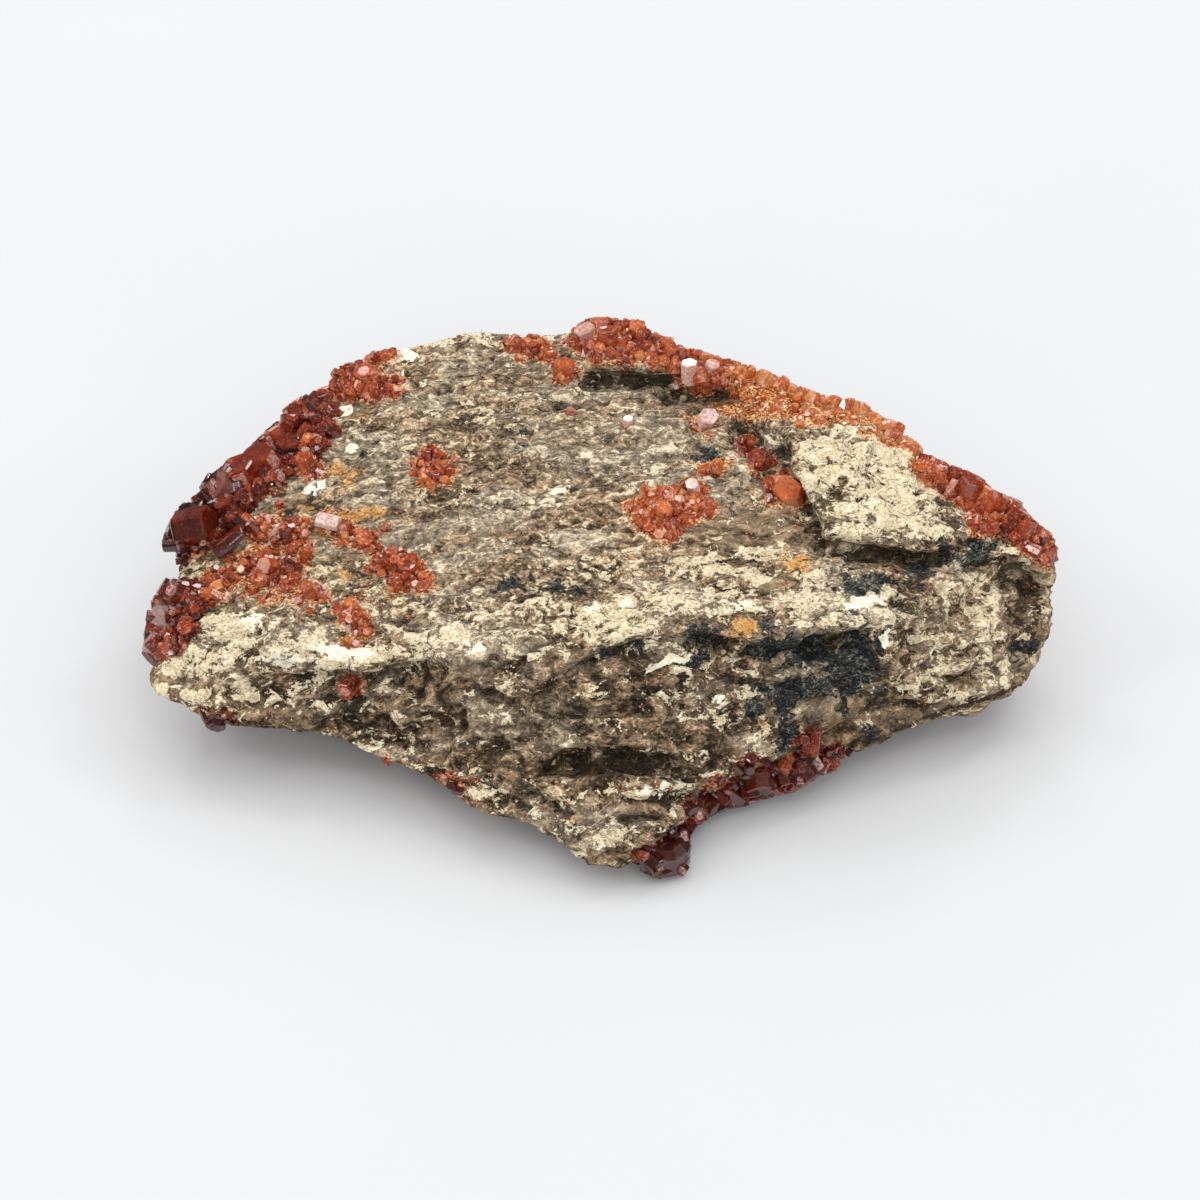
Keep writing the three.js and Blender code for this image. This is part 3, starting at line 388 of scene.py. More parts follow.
# ------------------------------------------------------------------ zones of colour, placed in the sight frame
BLOCK = [(797, 443), (822, 436), (845, 418), (862, 424), (880, 428), (906, 436), (930, 452), (956, 478), (984, 500), (1012, 520), (1040, 545), (1050, 556), (1010, 556), (972, 538), (940, 540), (905, 536), (868, 542), (845, 543), (828, 532), (818, 515), (800, 480)]
SOFT = {
    # name: rows of (across, down, half width, half height, turn in degrees, strength)
    "cream": [
        (180, 573, 26, 14, 0, 0.8), (225, 532, 14, 12, 0, 0.45), (275, 479, 16, 6, -10, 0.6), (332, 573, 20, 15, 0, 0.55),
        (235, 632, 50, 22, 0, 1.0), (300, 655, 64, 20, 0, 1.0), (372, 655, 62, 15, 0, 1.0), (200, 658, 48, 26, 10, 0.85),
        (165, 680, 26, 20, 20, 0.75), (425, 640, 55, 18, 0, 0.85), (490, 638, 62, 20, 0, 0.75), (380, 612, 60, 18, 0, 0.65),
        (300, 622, 42, 14, 0, 0.6), (250, 690, 60, 14, -10, 0.8), (205, 700, 40, 12, -14, 0.9), (230, 712, 26, 10, 0, 0.7), (520, 612, 60, 18, 0, 0.6),
        (605, 620, 60, 26, 0, 0.95), (560, 600, 50, 14, 0, 0.45), (640, 560, 62, 14, 0, 0.6), (600, 575, 40, 12, 0, 0.5),
        (700, 566, 54, 13, 0, 0.8), (660, 598, 60, 14, 0, 0.8), (740, 600, 50, 16, 0, 0.8), (770, 553, 40, 12, 0, 0.75),
        (805, 603, 36, 14, 0, 0.95), (862, 603, 34, 15, 0, 1.1), (830, 583, 26, 10, 0, 0.8), (886, 628, 13, 26, -8, 1.1),
        (820, 620, 40, 8, 0, 0.8), (960, 590, 26, 20, 0, 0.9), (985, 620, 16, 50, -6, 0.9), (955, 660, 46, 30, 0, 0.65),
        (930, 640, 24, 20, 0, 0.6), (918, 683, 22, 9, 12, 0.95), (960, 690, 34, 8, 10, 0.7), (1045, 615, 8, 14, 0, 0.5),
        (715, 716, 34, 15, 0, 0.85), (692, 684, 20, 15, 0, 0.75), (668, 700, 24, 12, 0, 0.4), (750, 690, 14, 20, 0, 0.6),
        (756, 728, 16, 22, 0, 0.6), (735, 765, 34, 10, -12, 0.65), (660, 789, 32, 8, 8, 0.95), (700, 775, 22, 8, 0, 0.6),
        (606, 832, 26, 16, 0, 0.7), (655, 822, 24, 14, 0, 0.35), (580, 845, 22, 12, 30, 0.4), (503, 680, 28, 10, 0, 0.65),
        (503, 714, 16, 6, 0, 0.85), (372, 745, 34, 8, 18, 0.85), (412, 744, 16, 12, 0, 0.55), (490, 794, 24, 11, 0, 0.7),
        (540, 812, 26, 10, 20, 0.55), (390, 690, 16, 8, 0, 0.6), (392, 717, 7, 6, 0, 0.8), (560, 680, 30, 12, 0, 0.35),
        (470, 770, 20, 8, 0, 0.6), (605, 790, 30, 6, 0, 0.5), (560, 540, 50, 10, 0, 0.35), (520, 500, 40, 8, 0, 0.5),
        (560, 500, 26, 9, 0, 0.6), (470, 480, 34, 6, 0, 0.45), (540, 400, 60, 12, 0, 0.3), (480, 412, 30, 8, 0, 0.35),
        (640, 520, 22, 10, 0, 0.4), (620, 470, 20, 7, 0, 0.35), (655, 470, 18, 7, 0, 0.35), (450, 500, 60, 10, 0, 0.25),
        (800, 415, 20, 8, 0, 0.6), (845, 424, 8, 10, 0, 0.9), (770, 404, 26, 7, 0, 0.45), (655, 356, 26, 5, 4, 0.7),
        (555, 333, 24, 7, 0, 0.8), (1030, 548, 22, 10, 20, 0.9), (1005, 540, 20, 12, 0, 0.8),
    ],
    "white": [
        (409, 354, 15, 6, -25, 1.1), (343, 409, 10, 8, -20, 1.15), (329, 425, 12, 8, -10, 1.15), (353, 446, 5, 5, 0, 1.1),
        (306, 463, 12, 4, 0, 1.0), (322, 478, 6, 13, 0, 1.0), (312, 487, 10, 5, 0, 0.9), (402, 371, 4, 3, 0, 1.0),
        (255, 622, 18, 10, 0, 0.8), (345, 652, 34, 9, -4, 0.95), (282, 662, 30, 9, 0, 0.8), (212, 640, 14, 10, 0, 0.6),
        (476, 652, 14, 7, -30, 0.8), (862, 602, 26, 9, 0, 0.9), (886, 640, 5, 16, -5, 1.1), (665, 664, 24, 4.5, 18, 1.1),
        (718, 700, 12, 5, 0, 0.7), (592, 606, 12, 9, 0, 0.7), (630, 604, 14, 8, 0, 0.7), (740, 604, 20, 8, 0, 0.6),
        (612, 826, 12, 10, 0, 0.7), (660, 787, 20, 5, 8, 0.8), (505, 713, 10, 4, 0, 0.8), (378, 748, 14, 5, 18, 0.8),
        (845, 420, 5, 7, 0, 1.0), (933, 652, 9, 8, 0, 0.8), (658, 636, 6, 4, 0, 1.0), (765, 760, 8, 4, 0, 0.6),
        (515, 500, 12, 5, 0, 0.7), (556, 496, 10, 5, 0, 0.6), (632, 740, 8, 3, 25, 0.9), (600, 846, 12, 6, 0, 0.5),
    ],
    "ochre": [
        (346, 473, 18, 13, 0, 0.75), (352, 516, 44, 7, 2, 0.85), (376, 512, 16, 7, -10, 1.0), (304, 506, 18, 8, 0, 0.6),
        (795, 562, 15, 11, 0, 1.0), (806, 572, 10, 7, 0, 0.9), (745, 628, 12, 9, -30, 1.5), (736, 634, 8, 4, 0, 0.8),
        (345, 576, 14, 11, 0, 0.55), (420, 590, 14, 5, 0, 0.7), (626, 556, 26, 12, 0, 0.45), (220, 536, 14, 8, 0, 0.6),
        (765, 724, 8, 14, 0, 0.6), (700, 640, 10, 5, 0, 0.3), (590, 652, 22, 9, -20, 0.4), (560, 380, 16, 6, 0, 0.35),
        (380, 608, 22, 10, 0, 0.45), (355, 610, 14, 8, 0, 0.6), (180, 565, 18, 6, 0, 0.5), (155, 658, 8, 12, 0, 0.5),
        (752, 690, 8, 8, 0, 0.5), (250, 518, 20, 6, 0, 0.35), (372, 356, 30, 7, -18, 0.5), (560, 326, 14, 5, 0, 0.5),
        (610, 340, 40, 12, 0, 0.35), (645, 596, 14, 6, 0, 0.3), (733, 594, 10, 8, 0, 0.4), (880, 566, 14, 5, 0, 0.35),
        (640, 632, 12, 7, 0, 0.3), (600, 626, 10, 8, 0, 0.25), (412, 344, 30, 5, -12, 0.4), (575, 820, 12, 7, 0, 0.45),
    ],
    "orange_crust": [
        (752, 395, 22, 14, 20, 1.0), (785, 395, 26, 12, 14, 0.95), (820, 402, 30, 11, 10, 1.0), (855, 406, 24, 9, 14, 1.0),
        (765, 414, 26, 6, 4, 0.9), (800, 412, 26, 6, -8, 0.9), (885, 420, 18, 8, 25, 0.8), (722, 408, 16, 5, -20, 0.8),
        (735, 412, 26, 7, -14, 1.0), (790, 414, 50, 8, 2, 1.0), (840, 412, 30, 9, 12, 1.0), (905, 436, 16, 8, 30, 0.9), (712, 418, 10, 5, -40, 0.8),
        (736, 372, 24, 10, 20, 0.8), (770, 380, 22, 7, 22, 0.7), (710, 440, 8, 6, 0, 0.5), (620, 345, 40, 10, 8, 0.6),
        (670, 360, 26, 8, 16, 0.7), (560, 372, 12, 8, 0, 0.6),
    ],
    "blue": [
        (805, 650, 44, 17, 0, 1.0), (852, 662, 30, 34, 0, 1.05), (770, 650, 26, 11, 0, 0.9), (882, 642, 14, 20, 0, 0.6),
        (757, 700, 9, 22, 0, 0.75), (795, 690, 44, 13, 0, 0.9), (788, 728, 18, 26, 0, 0.75), (702, 634, 18, 11, 0, 0.75),
        (692, 663, 20, 6, 16, 0.85), (722, 646, 14, 11, 0, 0.7), (868, 584, 31, 8, 4, 1.15), (846, 576, 10, 6, 0, 0.8),
        (918, 572, 14, 12, 0, 0.85), (944, 552, 10, 14, 0, 0.9), (985, 542, 20, 13, 0, 0.85), (972, 560, 26, 8, 0, 0.6),
        (532, 583, 44, 14, 2, 0.65), (575, 590, 12, 12, 0, 0.5), (516, 436, 15, 8, 0, 0.6), (709, 456, 12, 11, 0, 0.65),
        (712, 480, 14, 5, 0, 0.55), (765, 626, 10, 8, 0, 1.1), (602, 650, 11, 16, 0, 0.6), (590, 634, 6, 12, 0, 0.45),
        (1031, 648, 6, 5, 0, 1.4), (1016, 645, 4, 3, 0, 1.2), (1012, 634, 3, 3, 0, 1.0), (800, 755, 12, 12, 0, 0.6),
        (870, 730, 8, 8, 30, 0.7), (640, 645, 16, 8, -20, 0.5), (710, 390, 24, 9, 8, 0.4), (490, 586, 24, 8, 0, 0.4),
        (380, 450, 20, 8, 0, 0.25), (360, 580, 20, 8, 0, 0.3), (690, 615, 12, 5, 0, 0.3), (826, 540, 12, 6, 0, 0.4),
        (960, 530, 12, 10, 30, 0.35), (860, 576, 30, 4, 0, 0.7),
    ],
    # dark seams, and painted shade in crevices, undercuts and under lips
    "seam_shade": [
        (636, 379, 48, 7.5, 0, 1.2), (702, 391, 32, 8.5, 6, 1.1), (746, 438, 14, 10, 45, 0.9), (762, 458, 16, 9, 45, 1.0),
        (784, 452, 12, 12, 0, 0.9), (770, 473, 10, 7, 0, 0.8), (806, 500, 7, 18, -25, 0.7), (824, 536, 8, 10, 0, 0.7),
        (884, 552, 46, 7.5, 6, 1.25), (930, 560, 14, 6, 0, 0.8), (975, 548, 20, 10, 0, 0.7), (1010, 562, 24, 9, 0, 0.8),
        (1022, 596, 22, 34, 0, 0.55), (1024, 640, 22, 40, 0, 0.5), (1006, 575, 10, 18, 0, 0.7), (905, 600, 12, 26, 0, 0.65),
        (905, 640, 12, 26, 0, 0.6), (885, 690, 26, 16, 0, 0.55), (615, 765, 62, 12, 0, 1.15), (690, 775, 26, 6, 20, 0.6),
        (680, 798, 40, 6, -6, 1.0), (600, 804, 20, 6, 0, 0.5), (340, 682, 44, 5, -6, 0.95), (412, 670, 16, 8, 0, 1.0),
        (400, 680, 30, 8, 0, 0.5), (622, 652, 24, 10, -20, 0.9), (600, 668, 30, 12, 0, 0.4), (540, 680, 40, 10, 0, 0.35),
        (320, 700, 24, 14, 0, 0.55), (350, 700, 26, 10, 0, 0.6), (470, 690, 26, 10, 0, 0.4), (440, 720, 30, 12, 0, 0.35),
        (510, 745, 40, 12, 0, 0.5), (560, 720, 40, 14, 0, 0.4), (640, 700, 20, 14, 0, 0.4), (610, 700, 20, 14, 0, 0.4),
        (700, 740, 30, 10, 0, 0.3), (560, 800, 20, 10, 0, 0.5), (575, 835, 8, 8, 0, 0.7), (505, 805, 12, 6, 0, 0.8),
        (680, 840, 16, 14, 0, 0.6), (655, 800, 30, 8, 0, 0.6), (290, 505, 34, 16, 0, 0.35), (280, 485, 18, 8, 0, 0.35),
        (285, 660, 12, 6, 0, 0.7), (280, 640, 14, 6, 0, 0.4), (195, 668, 8, 5, 0, 0.4), (830, 500, 16, 22, 0, 0.45),
        (735, 640, 26, 6, 0, 0.8), (790, 640, 40, 8, 0, 0.7), (860, 645, 30, 14, 0, 0.5), (860, 690, 30, 10, 0, 0.5),
        (780, 742, 20, 12, 0, 0.4), (960, 698, 60, 5, -12, 0.6), (930, 716, 50, 4, -18, 0.55), (1000, 700, 30, 4, -20, 0.5),
        (415, 482, 36, 3, 0, 0.5), (700, 430, 8, 6, 0, 0.4), (500, 430, 20, 6, 0, 0.3), (590, 740, 40, 6, 0, 0.5),
    ],
    "plain": [
        (752, 522, 56, 15, 0, 1.0), (700, 530, 30, 10, 0, 0.7), (745, 540, 50, 8, 0, 0.8), (768, 588, 26, 12, -10, 0.8),
        (430, 545, 60, 12, 0, 0.6), (850, 716, 44, 20, 0, 0.7), (300, 500, 30, 12, 0, 0.5), (250, 708, 60, 12, -6, 0.6),
        (940, 716, 60, 16, -18, 0.9), (1020, 620, 26, 60, 0, 0.6), (300, 545, 20, 8, 0, 0.4), (480, 540, 60, 10, 0, 0.5),
        (640, 790, 20, 4, 0, 0.3), (700, 400, 30, 8, 0, 0.5), (700, 600, 60, 10, 0, 0.35), (240, 515, 18, 6, 0, 0.6),
    ],
    # bare places in the block's crust
    "bare": [
        (826, 508, 19, 20, 10, 1.0), (838, 492, 13, 12, 0, 0.9), (940, 505, 15, 15, 20, 0.95), (905, 468, 8, 5, 0, 0.6), (862, 455, 6, 9, 0, 0.5), (815, 545, 16, 6, 0, 0.6),
        (958, 527, 13, 10, 30, 0.9), (890, 540, 24, 5, 0, 0.6), (872, 520, 7, 5, 0, 0.6), (920, 500, 6, 10, 0, 0.6), (985, 540, 18, 9, 0, 0.8), (812, 470, 8, 5, 0, 0.5),
        (236, 608, 10, 5, 0, 0.6), (352, 640, 10, 7, 0, 0.8), (290, 640, 12, 5, 0, 0.7), (255, 655, 9, 6, 0, 0.6), (268, 690, 16, 5, 0, 0.6), (200, 680, 9, 5, 0, 0.5),
    ],
    "rust": [
        (445, 778, 18, 10, 20, 0.8), (432, 764, 14, 6, 0, 0.5), (392, 765, 14, 5, 0, 0.9), (455, 785, 10, 8, 30, 0.9),
        (745, 448, 9, 9, 0, 0.8), (762, 466, 10, 12, 0, 0.8), (768, 760, 10, 8, 0, 0.5), (840, 762, 14, 6, -20, 0.8),
        (720, 785, 24, 7, -20, 0.8), (170, 556, 16, 6, 0, 0.7), (150, 640, 10, 40, 0, 0.8), (215, 722, 16, 8, 0, 1.0),
    ],
}
STROKES = {
    "cream": [([(343, 371), (380, 356), (420, 347), (470, 335), (520, 334), (560, 332)], 7, 0.75), ([(740, 575), (800, 580), (850, 590)], 8, 0.5),
              ([(992, 570), (995, 610), (1002, 650), (1008, 684)], 5, 0.9), ([(620, 590), (700, 588)], 6, 0.5), ([(655, 642), (700, 652), (760, 662)], 6, 0.5),
              ([(690, 785), (730, 775), (750, 765)], 5, 0.6), ([(1000, 545), (1048, 556)], 6, 0.8)],
    # dark lines: painted shade along the groove, the crevices and the cracks
    "seam_shade": [([(735, 424), (750, 440), (770, 465)], 8, 0.8), ([(798, 482), (808, 505), (822, 532)], 5, 0.8), ([(873, 446), (862, 480), (861, 504)], 2.4, 0.75),
             ([(914, 468), (919, 484), (918, 502)], 2.2, 0.7), ([(884, 738), (930, 716), (980, 702), (1020, 686)], 3, 0.7), ([(300, 683), (340, 681), (378, 678)], 4, 0.9),
             ([(845, 480), (858, 500), (862, 530)], 3, 0.6), ([(628, 797), (660, 800), (690, 800), (722, 790)], 4, 1.0), ([(200, 706), (215, 722), (260, 722), (300, 732)], 4, 0.8)],
}


def zone(name):
    m = np.zeros(n)
    warp = sight + np.stack([fbm(P * 0.8, 3, 0.6, 31), fbm(P * 0.8, 3, 0.6, 32)], -1) * 4.0
    for a, d, ha, hd, turn, strength in SOFT.get(name, []):
        t = math.radians(turn)
        dx, dy = warp[:, 0] - a, warp[:, 1] - d
        u, v = (dx * math.cos(t) - dy * math.sin(t)) / ha, (dx * math.sin(t) + dy * math.cos(t)) / hd
        m = np.maximum(m, strength * np.exp(-0.9 * (u * u + v * v)))
    for run, width, strength in STROKES.get(name, []):
        dist, _ = run_distance(warp, run)
        m = np.maximum(m, strength * np.exp(-((dist / width) ** 2)))
    return m * vis


zones = {name: zone(name) for name in SOFT}
block = in_ring(sight, BLOCK).astype(float)
block = relax(block[:, None], 3)[:, 0] * vis
bare = zones["bare"]
zones["cream"] = np.maximum(0.94 * zones["cream"], 0.93 * block) * (1 - 0.9 * bare)
zones["slab"] = block
hidden = 1 - smooth(relax(seen[:, None], 14)[:, 0], 0.0, 0.2)
zones["rust"] = np.maximum(zones["rust"], hidden * 1.1)
front_zone = smooth(sight[:, 1], 600, 690) * vis
zones["front"] = front_zone

# the surface's concavity: painted shade in hollows, painted light on edges
hollow = ((relax(co, 6, 0.9) - co) * nor2).sum(1) / 0.24 + ((relax(co, 36, 0.9) - co) * nor2).sum(1) / 0.8
zones["hollow"] = np.clip(0.5 + 0.5 * hollow * vis, 0, 1)

# the crusts stand proud of the face they cover, the dark films lie in it
lift = 0.16 * zones["cream"] * (0.4 + 0.6 * smooth(fbm(P * 1.1, 2, 0.6, 55), -0.2, 0.4)) - 0.10 * zones["blue"]
co = co + normals() * lift[:, None]
put(co)
bvh = tree()
for p in fine.polygons:
    p.use_smooth = True

# ------------------------------------------------------------------ node helpers
class Nodes:
    def __init__(self, name):
        self.mat = bpy.data.materials.new(name)
        self.mat.use_nodes = True
        self.tree = self.mat.node_tree
        self.tree.nodes.clear()
        self.out = self.add("ShaderNodeOutputMaterial")

    def add(self, kind, **props):
        node = self.tree.nodes.new(kind)
        for k, v in props.items():
            setattr(node, k, v)
        return node

    def link(self, a, b):
        self.tree.links.new(a, b)

    def put(self, socket, value):
        if hasattr(value, "is_output"):
            self.link(value, socket)
        elif value is not None:
            socket.default_value = value

    def math(self, op, a, b=None, c=None, clamp=False):
        m = self.add("ShaderNodeMath", operation=op, use_clamp=clamp)
        for i, v in enumerate((a, b, c)):
            if v is not None:
                self.put(m.inputs[i], v)
        return m.outputs[0]

    def ramp(self, fac, stops, mode="LINEAR"):
        r = self.add("ShaderNodeValToRGB")
        r.color_ramp.interpolation = mode
        while len(r.color_ramp.elements) < len(stops):
            r.color_ramp.elements.new(0.5)
        for e, (pos, col) in zip(r.color_ramp.elements, stops):
            e.position = pos
            e.color = (*col, 1) if len(col) == 3 else col
        self.link(fac, r.inputs[0])
        return r.outputs[0]

    def mix(self, fac, a, b, kind="MIX"):
        m = self.add("ShaderNodeMix", data_type="RGBA", blend_type=kind)
        m.clamp_factor = True
        self.put(m.inputs[0], fac)
        self.put(m.inputs[6], a if hasattr(a, "is_output") else (*a, 1))
        self.put(m.inputs[7], b if hasattr(b, "is_output") else (*b, 1))
        return m.outputs[2]

    def attr(self, name):
        return self.add("ShaderNodeAttribute", attribute_name=name).outputs["Fac"]

    def coords(self, scale=(1, 1, 1), turn=(0, 0, 0), at=(0, 0, 0)):
        tc = self.add("ShaderNodeTexCoord")
        mp = self.add("ShaderNodeMapping")
        mp.inputs["Scale"].default_value = tuple(1000 * s for s in scale)
        mp.inputs["Rotation"].default_value = turn
        mp.inputs["Location"].default_value = at
        self.link(tc.outputs["Object"], mp.inputs["Vector"])
        return mp.outputs[0]

    def noise(self, vector, scale=1.0, detail=4.0, rough=0.55, distortion=0.0):
        nz = self.add("ShaderNodeTexNoise")
        nz.inputs["Scale"].default_value = scale
        nz.inputs["Detail"].default_value = detail
        nz.inputs["Roughness"].default_value = rough
        nz.inputs["Distortion"].default_value = distortion
        self.link(vector, nz.inputs["Vector"])
        return nz.outputs["Fac"]

    def step(self, value, lo, hi):
        m = self.add("ShaderNodeMapRange", interpolation_type="SMOOTHSTEP")
        m.inputs["From Min"].default_value = lo
        m.inputs["From Max"].default_value = hi
        self.put(m.inputs["Value"], value)
        return m.outputs["Result"]

    def bump(self, height, strength, distance, normal=None):
        b = self.add("ShaderNodeBump")
        b.inputs["Strength"].default_value = strength
        b.inputs["Distance"].default_value = distance
        self.link(height, b.inputs["Height"])
        if normal is not None:
            self.link(normal, b.inputs["Normal"])
        return b.outputs[0]


def lin(r, g, b):
    """Linear colour from 0-255 display values."""
    return tuple(((c / 255 + 0.055) / 1.055) ** 2.4 if c > 10 else c / 255 / 12.92 for c in (r, g, b))


# ------------------------------------------------------------------ rock material
R = Nodes("host_rock")
front = R.attr("front")
plain = R.attr("plain")


hollow_shade = R.math("SUBTRACT", R.attr("hollow"), 0.5)


def spots(scale, at, detail=6, rough=0.70, distortion=0.6):
    return R.noise(R.coords(scale, at=at), 1.0, detail, rough, distortion)


flecks_top = spots((0.52, 0.86, 1.1), (0, 0, 0), 6, 0.74, 0.9)  # drawn out along the grain
flecks_front = spots((0.42, 0.52, 0.56), (2, 9, 4))  # rounder on the broken faces
cream_n = spots((0.46, 0.64, 0.72), (5, 5, 9), 6, 0.70, 0.8)
dark_n = spots((0.40, 0.60, 0.70), (11, 3, 7), 6, 0.70, 0.8)
film_n = spots((0.42, 0.52, 0.56), (3, 1, 8), 6, 0.68, 0.9)
fine_n = R.noise(R.coords((3.4, 4.4, 5.0), at=(1, 2, 3)), 1.0, 4, 0.65, 0.3)
tiny_n = R.noise(R.coords((7.0, 9.0, 10.0), at=(6, 2, 3)), 1.0, 2, 0.5, 0.0)
broad = R.noise(R.coords((0.11, 0.24, 0.27), at=(4, 4, 4)), 1.0, 3, 0.5, 0.4)

speck_n = R.noise(R.coords((1.7, 2.1, 2.3), at=(7, 7, 2)), 1.0, 4, 0.6, 0.7)
cream_n = R.math("ADD", R.math("MULTIPLY", cream_n, 0.76), R.math("MULTIPLY", speck_n, 0.24))

# the mottling of the bare rock, with painted shade on the front faces and in the hollows
mot = R.math("ADD", R.math("MULTIPLY", flecks_top, R.math("SUBTRACT", 1.0, front)), R.math("MULTIPLY", flecks_front, front))
mot = R.math("ADD", R.math("ADD", R.math("MULTIPLY", mot, 0.58), R.math("MULTIPLY", speck_n, 0.20)), R.math("MULTIPLY", fine_n, 0.22))
mot = R.math("ADD", mot, R.math("MULTIPLY", R.math("SUBTRACT", broad, 0.5), 0.16))
# painted shade: the front faces a little darker
mot = R.math("SUBTRACT", mot, R.math("MULTIPLY", front, 0.020))
# painted shade in hollows, painted light on ridges
mot = R.math("SUBTRACT", mot, R.math("MULTIPLY", hollow_shade, 0.030))
flat_mot = R.math("ADD", R.math("MULTIPLY", R.math("SUBTRACT", mot, 0.5), 0.36), 0.502)
mot = R.math("ADD", R.math("MULTIPLY", mot, R.math("SUBTRACT", 1.0, plain)), R.math("MULTIPLY", flat_mot, plain))
base = R.ramp(mot, [(0.385, lin(34, 26, 16)), (0.432, lin(70, 54, 36)), (0.464, lin(104, 84, 58)), (0.492, lin(134, 109, 78)), (0.518, lin(160, 131, 95)), (0.546, lin(194, 161, 119)), (0.578, lin(232, 204, 158)), (0.61, lin(250, 236, 202))])
cool = R.ramp(mot, [(0.39, lin(42, 36, 27)), (0.455, lin(96, 83, 65)), (0.51, lin(138, 121, 96)), (0.55, lin(178, 158, 127)), (0.60, lin(236, 220, 186))])
base = R.mix(R.step(broad, 0.44, 0.60), base, cool)
# painted shade: the front faces darker and warmer
base = R.mix(R.math("MULTIPLY", front, 0.30), base, R.mix(1.0, base, lin(176, 158, 138), "MULTIPLY"))


def zoned(name, noise, reach, least, width=0.035, sink=0.0):
    """Ragged cover that thickens with the zone's weight; sink thickens it in hollows as painted shade, and thins it
    there where negative.
    """
    sum_ = R.math("ADD", noise, R.math("MULTIPLY", R.attr(name), reach))
    if sink:
        sum_ = R.math("ADD", sum_, R.math("MULTIPLY", hollow_shade, sink))
    return R.step(sum_, least, least + width)


calm = R.add("ShaderNodeHueSaturation")
calm.inputs["Saturation"].default_value = 0.86
calm.inputs["Value"].default_value = 1.03
R.link(base, calm.inputs["Color"])
base = calm.outputs[0]

# bare grey-brown places within the pale crust
bare_col = R.ramp(R.math("ADD", R.math("MULTIPLY", fine_n, 0.5), R.math("MULTIPLY", flecks_front, 0.5)), [(0.40, lin(44, 36, 26)), (0.47, lin(84, 71, 52)), (0.53, lin(124, 106, 80)), (0.60, lin(176, 154, 116))])
base = R.mix(zoned("bare", film_n, 0.26, 0.62, 0.03), base, bare_col)
# dark seams, and painted shade in crevices, undercuts, pits and hollows
seam_shade_col = R.ramp(fine_n, [(0.36, lin(14, 11, 8)), (0.5, lin(40, 32, 24)), (0.64, lin(78, 65, 49))])
seam_shade = zoned("seam_shade", dark_n, 0.24, 0.60, 0.03, 0.07)
col = R.mix(R.math("MULTIPLY", seam_shade, 0.86), base, seam_shade_col)
# cream crust with dark holes
cream_col = R.ramp(fine_n, [(0.34, lin(176, 148, 104)), (0.43, lin(222, 198, 154)), (0.52, lin(248, 234, 198)), (0.64, lin(255, 252, 234))])
# the crust thins in hollows, as painted shade
cream = zoned("cream", cream_n, 0.150, 0.578, 0.016, -0.03)
thick = R.math("ADD", 0.76, R.math("MULTIPLY", R.attr("slab"), 0.06))
col = R.mix(R.math("MULTIPLY", cream, thick), col, cream_col)
# a dark line round the crust's edges and holes
edge = R.math("MULTIPLY", zoned("cream", cream_n, 0.150, 0.560, 0.016, -0.03), R.math("SUBTRACT", 1.0, cream))
col = R.mix(R.math("MULTIPLY", edge, 0.48), col, lin(66, 52, 35))
# ochre stain
ochre_col = R.ramp(fine_n, [(0.35, lin(156, 98, 44)), (0.5, lin(218, 158, 86)), (0.65, lin(248, 206, 138))])
col = R.mix(R.math("MULTIPLY", zoned("ochre", R.math("ADD", R.math("MULTIPLY", film_n, 0.6), R.math("MULTIPLY", speck_n, 0.4)), 0.22, 0.60, 0.05), 0.78), col, ochre_col)
# blue-black film
blue_col = R.ramp(R.math("ADD", R.math("MULTIPLY", fine_n, 0.5), R.math("MULTIPLY", cream_n, 0.5)), [(0.41, lin(8, 11, 13)), (0.485, lin(28, 35, 39)), (0.54, lin(60, 68, 69)), (0.59, lin(146, 140, 122))])
blue = zoned("blue", film_n, 0.36, 0.655, 0.016)
col = R.mix(R.math("MULTIPLY", blue, 0.93), col, blue_col)
# white spots
white_col = R.ramp(fine_n, [(0.34, lin(232, 212, 172)), (0.5, lin(254, 247, 224)), (0.66, lin(255, 254, 244))])
col = R.mix(zoned("white", cream_n, 0.40, 0.70, 0.03), col, white_col)
# pale orange-brown ground between the lighter crystals
seat_col = R.ramp(R.math("ADD", R.math("MULTIPLY", fine_n, 0.6), R.math("MULTIPLY", cream_n, 0.4)), [(0.40, lin(86, 34, 16)), (0.46, lin(150, 78, 40)), (0.52, lin(214, 152, 104)), (0.58, lin(250, 222, 184))])
col = R.mix(zoned("seat", dark_n, 0.34, 0.64, 0.05), col, seat_col)
# orange crystalline crust
crust_col = R.ramp(R.math("ADD", R.math("MULTIPLY", fine_n, 0.6), R.math("MULTIPLY", cream_n, 0.4)), [(0.42, lin(84, 30, 10)), (0.475, lin(150, 68, 24)), (0.515, lin(192, 114, 54)), (0.55, lin(222, 176, 120)), (0.60, lin(250, 228, 192))])
col = R.mix(R.math("MULTIPLY", zoned("orange_crust", R.math("ADD", R.math("MULTIPLY", dark_n, 0.6), R.math("MULTIPLY", speck_n, 0.4)), 0.30, 0.62, 0.04), 0.95), col, crust_col)
# red-brown ground between the darker ones
rust_col = R.ramp(R.math("ADD", R.math("MULTIPLY", fine_n, 0.6), R.math("MULTIPLY", flecks_front, 0.4)), [(0.40, lin(46, 14, 8)), (0.47, lin(98, 38, 20)), (0.53, lin(148, 78, 48)), (0.60, lin(216, 164, 124))])
rust = zoned("rust", dark_n, 0.34, 0.66, 0.06)
col = R.mix(R.math("MULTIPLY", rust, 0.95), col, rust_col)

